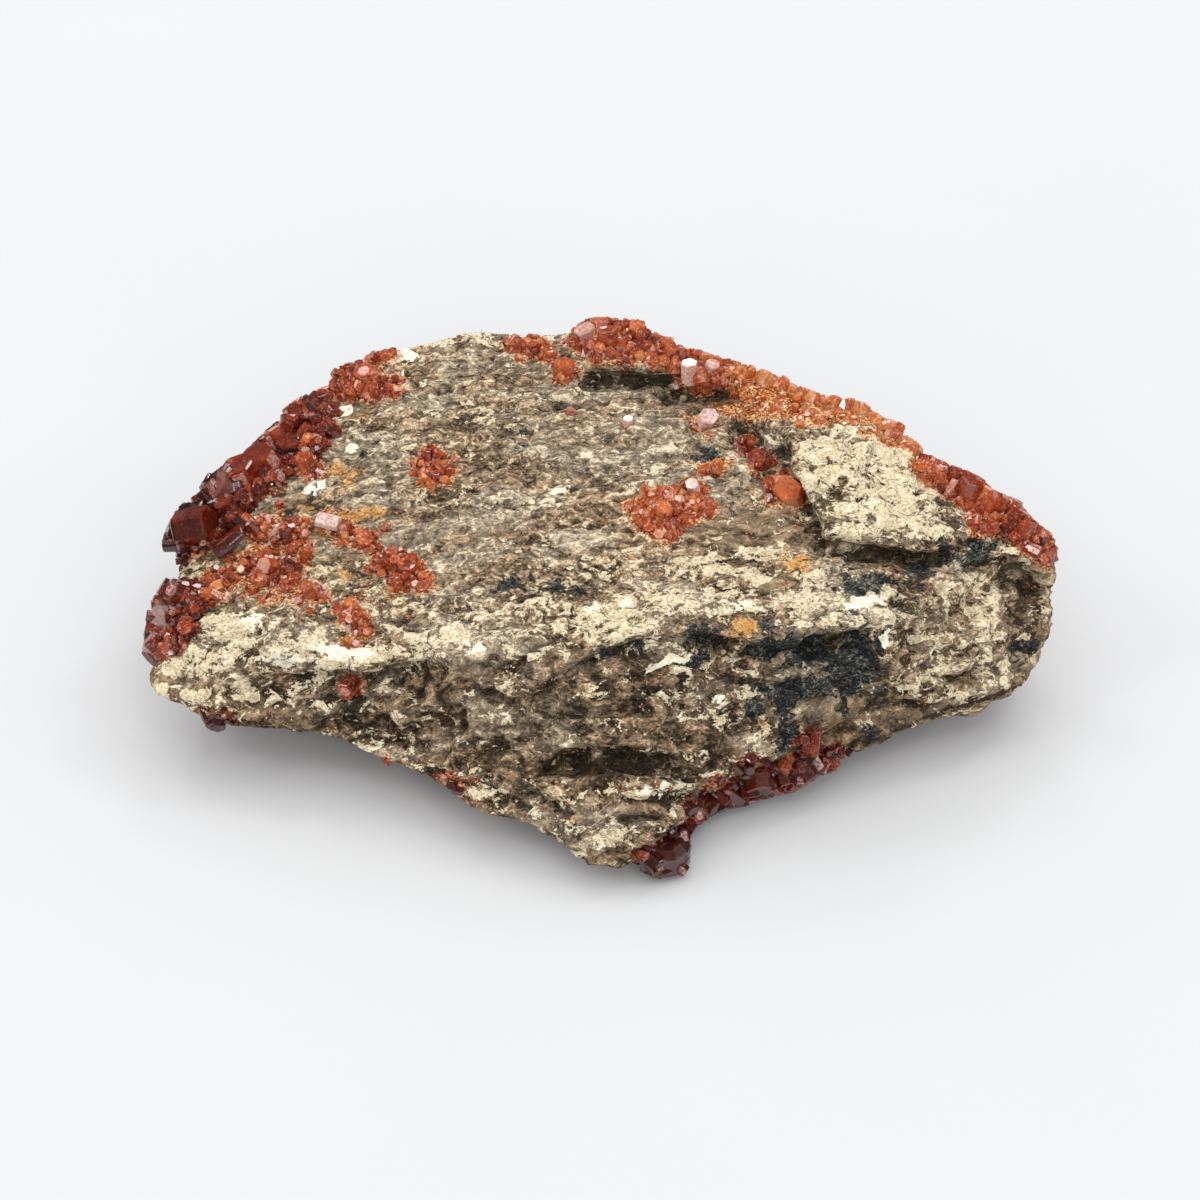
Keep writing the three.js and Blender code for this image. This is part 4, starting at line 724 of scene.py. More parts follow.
high = R.math("ADD", R.math("MULTIPLY", mot, 1.1), R.math("MULTIPLY", cream, 0.10))
high = R.math("SUBTRACT", high, R.math("MULTIPLY", seam_shade, 0.10))
nrm = R.bump(tiny_n, 0.30, 0.00008)
nrm = R.bump(fine_n, 0.45, 0.00022, nrm)
nrm = R.bump(high, 0.70, 0.0008, nrm)
bsdf = R.add("ShaderNodeBsdfPrincipled")
R.link(col, bsdf.inputs["Base Color"])
R.link(nrm, bsdf.inputs["Normal"])
R.put(bsdf.inputs["Roughness"], R.ramp(fine_n, [(0.3, (0.74,) * 3), (0.7, (0.95,) * 3)]))
bsdf.inputs["Specular IOR Level"].default_value = 0.25
R.link(bsdf.outputs[0], R.out.inputs[0])
fine.materials.clear()
fine.materials.append(R.mat)
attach(rock, "root")
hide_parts("matrix")

# ------------------------------------------------------------------ crystals
# (across, down, radius, length, turn, lift), as in the CAD source
GROUPS = {
    "large_left_crystals": [(198, 533, 2.0, 3.6, 12, 24), (203, 515, 1.55, 3.0, 16, 32), (184, 526, 1.4, 1.9), (184, 553, 1.0), (176, 545, 1.1)],
    "leaf_shaped_crystal": [(225, 548, 1.1, 3.5, 38, 12)],
    "left_shoulder_crystals": [(222, 488, 1.6, 2.1), (236, 494, 1.15, 3.2, 16, 12), (220, 505, 1.3, 3.0, 14, 22), (232, 512, 1.05), (243, 501, 0.85), (236, 523, 0.95)],
    "left_rim_crystals": [(242, 479, 1.72, 2.4), (264, 466, 1.67, 2.6), (279, 441, 1.23), (290, 448, 1.06), (303, 452, 0.88), (287, 466, 0.84), (273, 479, 0.97), (256, 489, 0.97)],
    "upper_left_rim_crystals": [(312, 412, 1.32), (299, 423, 1.23), (324, 413, 0.97), (313, 427, 1.06), (302, 439, 0.97), (316, 441, 0.88), (326, 428, 0.79)],
    "upper_left_cluster": [(342, 390, 0.88), (352, 379, 0.97), (359, 391, 0.88), (367, 379, 1.14), (372, 393, 0.79), (380, 383, 0.97), (391, 386, 0.79)],
    "lower_left_rim_crystals": [(170, 604, 1.32), (182, 596, 1.23), (194, 595, 0.97), (161, 620, 1.32), (177, 614, 1.06), (189, 608, 0.88), (170, 634, 1.14), (183, 627, 0.88), (157, 647, 1.14), (170, 645, 0.79)],
    "left_patch_crystals": [(252, 528, 1.2), (268, 524, 1.0), (284, 532, 1.2), (301, 530, 1.0), (264, 547, 1.3), (282, 551, 1.3), (301, 549, 1.0), (252, 563, 1.1), (271, 569, 1.4), (291, 569, 1.2), (259, 583, 1.1), (278, 587, 1.3), (297, 589, 1.1), (313, 593, 0.9), (236, 570, 1.1), (222, 580, 1.1), (212, 592, 1.0)],
    "patch_arm_crystals": [(329, 525, 0.85, 2.6, -14, 12), (346, 534, 0.85), (366, 543, 0.9)],
    "mid_left_cluster": [(382, 568, 1.0), (394, 561, 1.1), (408, 571, 1.3), (419, 581, 0.95), (402, 584, 0.85)],
    "ridge_cluster": [(347, 609, 0.85), (353, 620, 1.0), (363, 627, 0.9), (358, 636, 0.8)],
    "under_ridge_crystal": [(350, 685, 1.0, 1.3)],
    "upper_middle_cluster": [(424, 468, 0.95), (434, 460, 1.1), (441, 472, 0.95), (430, 478, 0.85)],
    "upper_left_pair": [(306, 467, 0.95), (315, 474, 0.75)],
    "back_rim_left_cluster": [(515, 347, 0.7), (526, 350, 0.88), (537, 347, 0.97), (547, 353, 0.7)],
    "lone_orange_crystal": [(564, 371, 1.1, 1.2)],
    "back_rim_cluster": [(577, 343, 0.79), (589, 339, 1.06), (602, 336, 1.14), (597, 349, 0.88), (610, 346, 1.06), (618, 338, 0.97), (626, 347, 0.97), (633, 341, 0.88), (639, 352, 0.88)],
    "notch_lip_cluster": [(660, 358, 0.88), (675, 365, 0.88), (690, 375, 1.41, 2.2), (701, 382, 0.88), (710, 372, 1.23, 2), (723, 378, 0.97), (697, 364, 0.79)],
    "pink_single_crystal": [(706, 423, 1.5, 2)],
    "small_red_pair": [(706, 473, 0.9), (717, 468, 0.9)],
    "centre_cluster": [(638, 509, 1.0), (651, 501, 1.1), (665, 497, 1.0), (680, 498, 1.1), (694, 503, 1.0), (706, 511, 0.9), (646, 519, 1.0), (661, 514, 1.2), (676, 513, 1.2), (691, 517, 1.0), (656, 529, 0.9), (671, 528, 0.9), (695, 490, 0.9, 2)],
    "groove_crystals": [(746, 446, 0.8), (754, 456, 0.9), (763, 464, 1.1)],
    "groove_large_crystals": [(784, 484, 1.5, 2.2), (791, 497, 1.5, 2.2), (777, 497, 1.0)],
    "orange_rim_crust": [(741, 378, 0.88), (754, 382, 0.79), (768, 387, 0.79), (747, 396, 0.79), (760, 400, 0.7), (777, 406, 0.79), (794, 407, 0.79), (813, 413, 0.79), (832, 412, 0.79), (849, 414, 0.79), (865, 420, 0.79), (880, 429, 0.79), (895, 442, 0.79)],
    "right_rim_crystals": [(925, 469, 0.79), (940, 479, 0.88), (954, 487, 1.06), (968, 497, 1.23), (982, 508, 1.23), (996, 516, 1.23), (1009, 525, 1.14), (993, 524, 0.97), (1024, 538, 1.06), (1038, 546, 0.97), (1046, 554, 0.79), (980, 518, 0.88)],
    "front_edge_crystals": [(697, 805, 0.97), (714, 796, 0.97), (730, 790, 1.06), (749, 783, 0.97), (755, 770, 1.41, 2.2), (767, 776, 0.97), (782, 773, 0.97), (797, 767, 1.06), (812, 757, 0.97), (811, 742, 0.84, 3.2, 84, 12), (826, 756, 0.88), (838, 754, 0.7)],
    "front_tip_crystals": [(662, 852, 1.3), (674, 840, 1.2), (650, 858, 1.0), (674, 853, 1.2)],
    "lower_left_edge_crystals": [(209, 714, 1.14), (220, 720, 1.14)],
}
# look of each group: tone (0 deep red-brown, 1 orange), share of pale crystals, which partly stand in as painted
# glints, least radius kept from the table, radii of the middling ones, how many of them and of the small ones per
# surveyed crystal, reach of the small ones (sight units)
LOOK = {
    "large_left_crystals": (0.10, 0.0, 1.2, (0.4, 0.7), 1, 3, 7), "leaf_shaped_crystal": (0.20, 0.0, 0.5, None, 0, 0, 0),
    "left_shoulder_crystals": (0.20, 0.02, 1.0, (0.5, 0.9), 3, 5, 8), "left_rim_crystals": (0.30, 0.04, 1.0, (0.45, 0.85), 3, 7, 9),
    "upper_left_rim_crystals": (0.34, 0.04, 1.0, (0.45, 0.8), 3, 7, 9), "upper_left_cluster": (0.52, 0.06, 1.1, (0.4, 0.65), 3, 7, 8),
    "lower_left_rim_crystals": (0.28, 0.06, 1.1, (0.45, 0.8), 3, 7, 9), "left_patch_crystals": (0.53, 0.2, 1.35, (0.36, 0.75), 2, 5, 8),
    "patch_arm_crystals": (0.55, 0.10, 0.84, (0.35, 0.55), 2, 6, 6), "mid_left_cluster": (0.58, 0.12, 1.25, (0.4, 0.65), 3, 6, 6),
    "ridge_cluster": (0.62, 0.2, 1.2, (0.35, 0.55), 2, 6, 6), "under_ridge_crystal": (0.42, 0.0, 0.5, None, 0, 4, 4),
    "upper_middle_cluster": (0.60, 0.10, 1.2, (0.4, 0.62), 3, 6, 6), "upper_left_pair": (0.48, 0.1, 0.9, (0.3, 0.5), 2, 6, 5),
    "back_rim_left_cluster": (0.58, 0.12, 1.2, (0.4, 0.6), 3, 7, 6), "lone_orange_crystal": (0.66, 0.0, 0.5, (0.3, 0.5), 2, 5, 6),
    "back_rim_cluster": (0.56, 0.24, 1.05, (0.4, 0.7), 3, 7, 8), "notch_lip_cluster": (0.58, 0.26, 1.15, (0.4, 0.7), 3, 7, 8),
    "pink_single_crystal": (0.5, 1.0, 0.5, None, 0, 2, 3), "small_red_pair": (0.60, 0.0, 0.8, (0.3, 0.4), 0, 1, 2),
    "centre_cluster": (0.66, 0.3, 1.15, (0.34, 0.6), 4, 7, 2), "groove_crystals": (0.42, 0.0, 1.0, (0.3, 0.5), 2, 4, 4),
    "groove_large_crystals": (0.42, 0.0, 1.2, (0.3, 0.4), 0, 2, 3), "orange_rim_crust": (0.80, 0.06, 1.2, (0.3, 0.5), 1, 5, 11),
    "right_rim_crystals": (0.50, 0.14, 1.0, (0.42, 0.75), 3, 7, 7), "front_edge_crystals": (0.17, 0.0, 0.83, (0.4, 0.7), 2, 6, 7),
    "front_tip_crystals": (0.06, 0.0, 1.0, (0.5, 0.8), 2, 4, 5), "lower_left_edge_crystals": (0.02, 0.0, 1.0, (0.5, 0.8), 1, 3, 4),
}
# surveyed crystals that look smaller than their radius, for what is grown round them: share of the radius, and of the length
TRIM = {(706, 473): (0.72, 0.7), (717, 468): (0.62, 0.7), (706, 423): (0.72, 0.8), (690, 375): (0.62, 0.8), (710, 372): (0.62, 0.8), (329, 525): (0.9, 0.85), (784, 484): (0.7, 0.9), (791, 497): (1, 1), (408, 571): (0.75, 0.8), (695, 490): (0.75, 0.8),
        (661, 514): (0.75, 0.7), (676, 513): (0.75, 0.7), (271, 569): (0.7, 0.7), (811, 742): (0.9, 0.8), (662, 852): (1, 0.7), (209, 714): (0.8, 0.7), (220, 720): (0.75, 0.7)}
MOVED = {(209, 714): (207, 723), (220, 720): (217, 724)}  # seats carried along with the rock's fuller edge
# crystals painted pale: some are pale crystals, some pale faces stand in for glints of light
PALE_AND_GLINTS = {(161, 620): 0.35, (157, 647): 0.3, (695, 490): 1.0, (329, 525): 0.8, (706, 423): 0.7, (690, 375): 0.5, (710, 372): 0.5, (589, 339): 0.45, (222, 488): 0.1}
# single small crystals away from the groups: (across, down, radius, tone, paleness (partly a painted glint), the group
# they go with)
STRAYS = [
    (628, 424, 0.55, 0.6, 0.75, "pink_single_crystal"), (570, 412, 0.35, 0.7, 0.2, "lone_orange_crystal"), (280, 507, 0.45, 0.45, 0.0, "left_patch_crystals"),
    (385, 531, 0.5, 0.6, 0.0, "patch_arm_crystals"), (378, 536, 0.35, 0.6, 0.1, "patch_arm_crystals"), (456, 460, 0.4, 0.7, 0.2, "upper_middle_cluster"), (550, 355, 0.5, 0.6, 0.0, "back_rim_left_cluster"),
    (575, 345, 0.5, 0.6, 0.0, "lone_orange_crystal"), (896, 430, 0.5, 0.7, 0.1, "orange_rim_crust"), (388, 765, 0.4, 0.45, 0.0, "under_ridge_crystal"),
    (453, 786, 0.55, 0.15, 0.0, "under_ridge_crystal"), (458, 792, 0.5, 0.12, 0.0, "under_ridge_crystal"), (706, 424, 0.4, 0.5, 0.6, "pink_single_crystal"), (445, 779, 0.35, 0.5, 0.1, "under_ridge_crystal"),
    (262, 600, 0.35, 0.55, 0.0, "left_patch_crystals"), (243, 596, 0.3, 0.55, 0.0, "left_patch_crystals"), (310, 612, 0.3, 0.6, 0.0, "ridge_cluster"),
]
# where the crystals stand out over the rock's edge: runs in the sight frame, and the radii along them
FRINGE = {
    "back_rim_cluster": ([(582, 322), (605, 315), (636, 318), (657, 333), (671, 336), (686, 347)], 0.5, 0.85), "notch_lip_cluster": ([(690, 347), (699, 348), (715, 354), (735, 360)], 0.45, 0.8),
    "orange_rim_crust": ([(737, 360), (748, 362), (764, 370), (783, 374), (792, 382), (816, 392), (862, 400), (882, 416), (905, 424), (908, 436), (925, 448)], 0.3, 0.55),
    "right_rim_crystals": ([(941, 460), (967, 470), (986, 480), (993, 490), (1021, 500), (1032, 518), (1052, 533), (1058, 546)], 0.45, 0.8),
    "upper_left_cluster": ([(326, 370), (340, 366), (357, 360), (374, 350), (392, 348)], 0.4, 0.7), "upper_left_rim_crystals": ([(284, 408), (289, 398), (303, 396), (319, 386)], 0.5, 0.9),
    "left_rim_crystals": ([(222, 462), (237, 458), (258, 440), (277, 420)], 0.6, 1.0), "left_shoulder_crystals": ([(188, 500), (196, 490), (210, 470), (219, 468)], 0.6, 1.1),
    "large_left_crystals": ([(160, 557), (160, 543), (172, 514), (183, 502)], 0.5, 0.9), "lower_left_rim_crystals": ([(142, 655), (143, 640), (148, 604), (160, 586)], 0.6, 1.0),
    "front_edge_crystals": ([(843, 768), (819, 778), (803, 790), (760, 800), (748, 806), (728, 810), (713, 816), (696, 828)], 0.5, 0.95), "front_tip_crystals": ([(692, 834), (692, 850), (690, 868), (680, 880), (664, 882), (646, 874)], 0.6, 1.0),
}
FRONT_FOOT = (6.0, -24.9, 2.3)
UNDER_FEET = [(-24, -5, 1.9), (25.5, -3, 1.9), (-13, 13.5, 1.9), (12, 9, 1.9)]
LOW = 0.12  # mm: only the feet reach the surface below
face_rng = np.random.RandomState(77)


class Druse:
    """Gathers crystals into one mesh."""

    def __init__(self, name):
        self.name, self.points, self.faces, self.tone, self.local, self.facet, self.count = name, [], [], [], [], [], 0

    def add(self, center, axis, radius, length, roll=0.0, tone=0.5, pale=0.0, taper=0.97, corner=0.09, bevel=0.1, hopper=0.0, flat_down=False, flat=1.0):
        z = np.asarray(axis, float)
        z = z / np.linalg.norm(z)
        x = np.cross([0, 0, 1.0], z) if abs(z[2]) < 0.9 else np.array([1.0, 0, 0]) - z * z[0]
        x = x / np.linalg.norm(x)
        y = np.cross(z, x)
        squash = flat * (rng.uniform(0.86, 1.0) if not flat_down else 1.0)
        ang, rad = [], []
        for s in range(6):
            a = roll + s * math.pi / 3 + rng.uniform(-0.06, 0.06) * (not flat_down)
            for e in (-1, 1):
                ang.append(a + e * corner)
                rad.append(1.0)
        ang, rad = np.array(ang), np.array(rad)
        cx, cy = np.cos(ang) * rad, np.sin(ang) * rad * squash
        b = min(bevel * radius, length * 0.2)
        half = length / 2
        rings = [(-half, taper * radius - b), (-half + b, taper * radius), (0.0, radius), (half - b, radius * taper), (half, radius * taper - b)]
        if hopper:
            rings.append((half - hopper * radius, radius * taper * 0.55))
        start = len(self.points)
        k = len(ang)
        for h, r in rings:
            tilt = 0.0
            for u, v in zip(cx, cy):
                self.points.append(np.asarray(center) + x * (u * r) + y * (v * r) + z * (h + tilt))
                self.local.append((math.atan2(v, u) * radius, h + self.count * 7.13, radius))
        side = face_rng.uniform(size=k)
        for q in range(len(rings) - 1):
            for s in range(k):
                t = (s + 1) % k
                self.faces.append((start + q * k + s, start + q * k + t, start + (q + 1) * k + t, start + (q + 1) * k + s))
                self.facet.append(side[s] if 0 < q < 3 and s % 2 else 0.6)
        self.faces.append(tuple(start + s for s in reversed(range(k))))
        self.faces.append(tuple(start + (len(rings) - 1) * k + s for s in range(k)))
        self.facet += list(face_rng.uniform(size=2))
        self.tone += [(tone, pale)] * (k * len(rings))
        self.count += 1

    def small(self, center, axis, radius, length, roll=0.0, tone=0.5, pale=0.0):
        """The same with plain corners, for the little ones."""
        z = np.asarray(axis, float)
        z = z / np.linalg.norm(z)
        x = np.cross([0, 0, 1.0], z) if abs(z[2]) < 0.9 else np.array([1.0, 0, 0]) - z * z[0]
        x = x / np.linalg.norm(x)
        y = np.cross(z, x)
        start = len(self.points)
        half = length / 2
        b = 0.16 * radius
        side = face_rng.uniform(size=6)
        for h, r in ((-half, 0.9 * radius), (half - b, radius), (half, radius - b)):
            for s in range(6):
                a = roll + s * math.pi / 3 + rng.uniform(-0.12, 0.12)
                self.points.append(np.asarray(center) + x * (math.cos(a) * r) + y * (math.sin(a) * r) + z * h)
                self.local.append((a * radius, h + self.count * 7.13, radius))
        for q in range(2):
            for s in range(6):
                t = (s + 1) % 6
                self.faces.append((start + q * 6 + s, start + q * 6 + t, start + (q + 1) * 6 + t, start + (q + 1) * 6 + s))
                self.facet.append(0.6 if q else side[s])
        self.faces.append(tuple(start + s for s in reversed(range(6))))
        self.faces.append(tuple(start + 12 + s for s in range(6)))
        self.facet += list(face_rng.uniform(size=2))
        self.tone += [(tone, pale)] * 18
        self.count += 1

    def build(self, material, nodes):
        me = bpy.data.meshes.new(self.name)
        pts = np.array(self.points)
        me.from_pydata([tuple(p) for p in pts * MM], [], self.faces)
        me.update()
        tone = np.array(self.tone, np.float32)
        for i, name in enumerate(("tone", "pale")):
            a = me.attributes.new(name, "FLOAT", "POINT")
            a.data.foreach_set("value", np.ascontiguousarray(tone[:, i]))
        a = me.attributes.new("facet", "FLOAT", "FACE")
        a.data.foreach_set("value", np.array(self.facet, np.float32))
        a = me.attributes.new("local", "FLOAT_VECTOR", "POINT")
        a.data.foreach_set("vector", np.array(self.local, np.float32).ravel())
        me.materials.append(material)
        o = bpy.data.objects.new(self.name, me)
        bpy.context.scene.collection.objects.link(o)
        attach(o, "root")
        if nodes:
            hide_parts(*nodes)
        return o


def fraction(v):
    s = math.sin(v) * 43758.5453123
    return s - math.floor(s)


def seat_by_sight(a, d):
    hit = bvh.ray_cast(Vector(EYE), Vector(sight_ray(a, d)))
    if hit[0] is None:
        i = int(np.argmin(np.hypot(sight[:, 0] - a, sight[:, 1] - d) + 40 * (seen < 0.2)))
        p = co[i]
        out = sight_ray(a, d)
        side = p - (EYE + out * np.dot(p - EYE, out))
        nn = nor[i] - 0.9 * side / (np.linalg.norm(side) + 1e-9)
        return p, nn / np.linalg.norm(nn)
    p = np.array(hit[0])
    return p, soft_normal(p)


kd_cells = {}
for i, c in enumerate(np.floor(co / 1.5).astype(int)):
    kd_cells.setdefault(tuple(c), []).append(i)


def soft_normal(p):
    """The rock's general direction around a point, without its grit."""
    c = np.floor(p / 1.5).astype(int)
    ids = []
    for dx in (-1, 0, 1):
        for dy in (-1, 0, 1):
            for dz in (-1, 0, 1):
                ids += kd_cells.get((c[0] + dx, c[1] + dy, c[2] + dz), [])
    ids = np.array(ids)
    dist = np.linalg.norm(co[ids] - p, axis=1)
    w = np.exp(-((dist / 0.8) ** 2))
    m = (nor[ids] * w[:, None]).sum(0)
    return m / np.linalg.norm(m)


def crystal_on(p, nn, a, d, radius, length=None, turn=None, lift=None):
    """Axis, centre and length of a surveyed crystal, as in the CAD source."""
    if turn is None:
        lean, way = 0.15 + 0.55 * fraction(a * 3.7 + d), 2 * math.pi * fraction(a + d * 5.3)
        t = np.cross([0, 0, 1.0], nn) if abs(nn[2]) < 0.9 else np.cross([1.0, 0, 0], nn)
        t = t / np.linalg.norm(t)
        axis = nn + t * lean * math.cos(way) + np.cross(nn, t) * lean * math.sin(way)
    else:
        u, l = math.radians(turn), math.radians(lift)
        axis = (np.array([1.0, 0, 0]) * math.cos(u) + UP * math.sin(u)) * math.cos(l) - AHEAD * math.sin(l)
    axis = axis / np.linalg.norm(axis)
    tall = length if length is not None else radius * (1.25 + 0.5 * fraction(a * 1.9 + d * 2.7))
    along = abs(axis @ nn)
    sink = min(0.9, tall * 0.4)
    side = -1 if axis @ nn < 0 else 1
    total = tall + (sink if along > 0.5 else 0)
    center = p + axis * side * (tall / 2 - (sink / 2 if along > 0.5 else 0)) * along + nn * (0.35 * radius + 0.3) * (1 - along)
    return center, axis * side, total, fraction(a * 0.7 + d * 1.3) * 1.05


def clear_of_floor(center, axis, radius, length):
    """Shortens a crystal so that no corner comes under LOW, or gives None where that can't be done."""
    z = axis[2]
    dip = radius * math.sqrt(max(0, 1 - z * z))
    low = center[2] - abs(z) * length / 2 - dip
    if low >= LOW:
        return center, length
    if z < -0.3:
        cut = min(length * 0.7, (LOW - low) / abs(z))
        return center - axis * cut / 2, length - cut
    return None, None


def ends(center, axis, radius, length):
    z = axis / np.linalg.norm(axis)
    x = np.cross([0, 0, 1.0], z) if abs(z[2]) < 0.9 else np.array([1.0, 0, 0]) - z * z[0]
    x = x / np.linalg.norm(x)
    y = np.cross(z, x)
    a = np.arange(6) * math.pi / 3
    ring = np.cos(a)[:, None] * x * radius + np.sin(a)[:, None] * y * radius
    return np.concatenate([center + z * length / 2 + ring, center - z * length / 2 + ring])


def keep_within(center, axis, radius, length, allow=1.0):
    """Moves a crystal in across the sight lines until it keeps to the specimen's outline."""
    for _ in range(4):
        s = sighted(ends(center, axis, radius, length))
        over, at = outside(s)
        k = over.argmax()
        if over[k] <= allow:
            break
        push = (at[k] - s[k]) * (1 - allow / over[k]) / 10.3
        center = center + np.array([1.0, 0, 0]) * push[0] - UP * push[1]
    return center


# colour of the crystals
C = Nodes("vanadinite")
tone = C.attr("tone")
pale = C.attr("pale")
facet = C.attr("facet")
loc = C.add("ShaderNodeAttribute", attribute_name="local").outputs["Vector"]


def local_noise(scale, detail=3.0, rough=0.5, distort=0.0):
    mp = C.add("ShaderNodeMapping")
    mp.inputs["Scale"].default_value = scale
    C.link(loc, mp.inputs["Vector"])
    return C.noise(mp.outputs[0], 1.0, detail, rough, distort)


body_n = C.noise(C.coords((0.8, 0.8, 0.8), at=(3, 3, 3)), 1.0, 5, 0.6, 0.5)
grain_n = C.noise(C.coords((3.4, 3.4, 3.4), at=(6, 3, 1)), 1.0, 4, 0.65, 0.4)
growth = local_noise((0.35, 5.0, 1.0), 3, 0.6)
base_tone = C.math("ADD", tone, C.math("MULTIPLY", C.math("SUBTRACT", body_n, 0.5), 0.7))
base_tone = C.math("ADD", base_tone, C.math("MULTIPLY", C.math("SUBTRACT", facet, 0.5), 0.24))
ccol = C.ramp(base_tone, [(0.0, lin(44, 8, 4)), (0.2, lin(80, 18, 8)), (0.4, lin(126, 38, 16)), (0.6, lin(172, 70, 32)), (0.8, lin(204, 108, 52)), (1.0, lin(228, 154, 92))])
split = C.add("ShaderNodeSeparateXYZ")
C.link(loc, split.inputs[0])
clear = C.step(split.outputs["Z"], 0.8, 1.4)  # the larger crystals carry less of the pale dust and painted sheen
# pale patches, partly dust and partly painted sheen of light
dust_and_sheen = C.math("MULTIPLY", C.step(grain_n, 0.53, 0.62), C.math("SUBTRACT", 1.0, C.math("MULTIPLY", clear, 0.7)))
ccol = C.mix(C.math("MULTIPLY", dust_and_sheen, C.math("SUBTRACT", C.math("MULTIPLY", tone, 0.95), 0.07)), ccol, lin(238, 186, 152))
ccol = C.mix(C.math("MULTIPLY", C.step(growth, 0.60, 0.36), 0.35), ccol, lin(40, 8, 4))
glint_faces = C.math("MULTIPLY", C.step(facet, 0.86, 0.96), C.math("ADD", C.math("MULTIPLY", C.step(grain_n, 0.42, 0.58), 0.45), 0.12))
ccol = C.mix(glint_faces, ccol, lin(232, 190, 180))  # pale faces painted as glints of light
# pale crystals: partly real pale ones, partly painted glints
ccol = C.mix(pale, ccol, C.ramp(grain_n, [(0.35, lin(206, 158, 142)), (0.5, lin(236, 206, 198)), (0.65, lin(252, 244, 240))]))
cbump = C.bump(grain_n, 0.05, 0.0001)
cbump = C.bump(growth, 0.14, 0.0001, cbump)
cb = C.add("ShaderNodeBsdfPrincipled")
C.link(ccol, cb.inputs["Base Color"])
C.link(cbump, cb.inputs["Normal"])
C.put(cb.inputs["Roughness"], C.ramp(grain_n, [(0.35, (0.08,) * 3), (0.65, (0.20,) * 3)]))
cb.inputs["IOR"].default_value = 1.95
cb.inputs["Specular Tint"].default_value = (1.0, 0.90, 0.87, 1.0)
cb.inputs["Transmission Weight"].default_value = 0.15
C.link(cb.outputs[0], C.out.inputs[0])

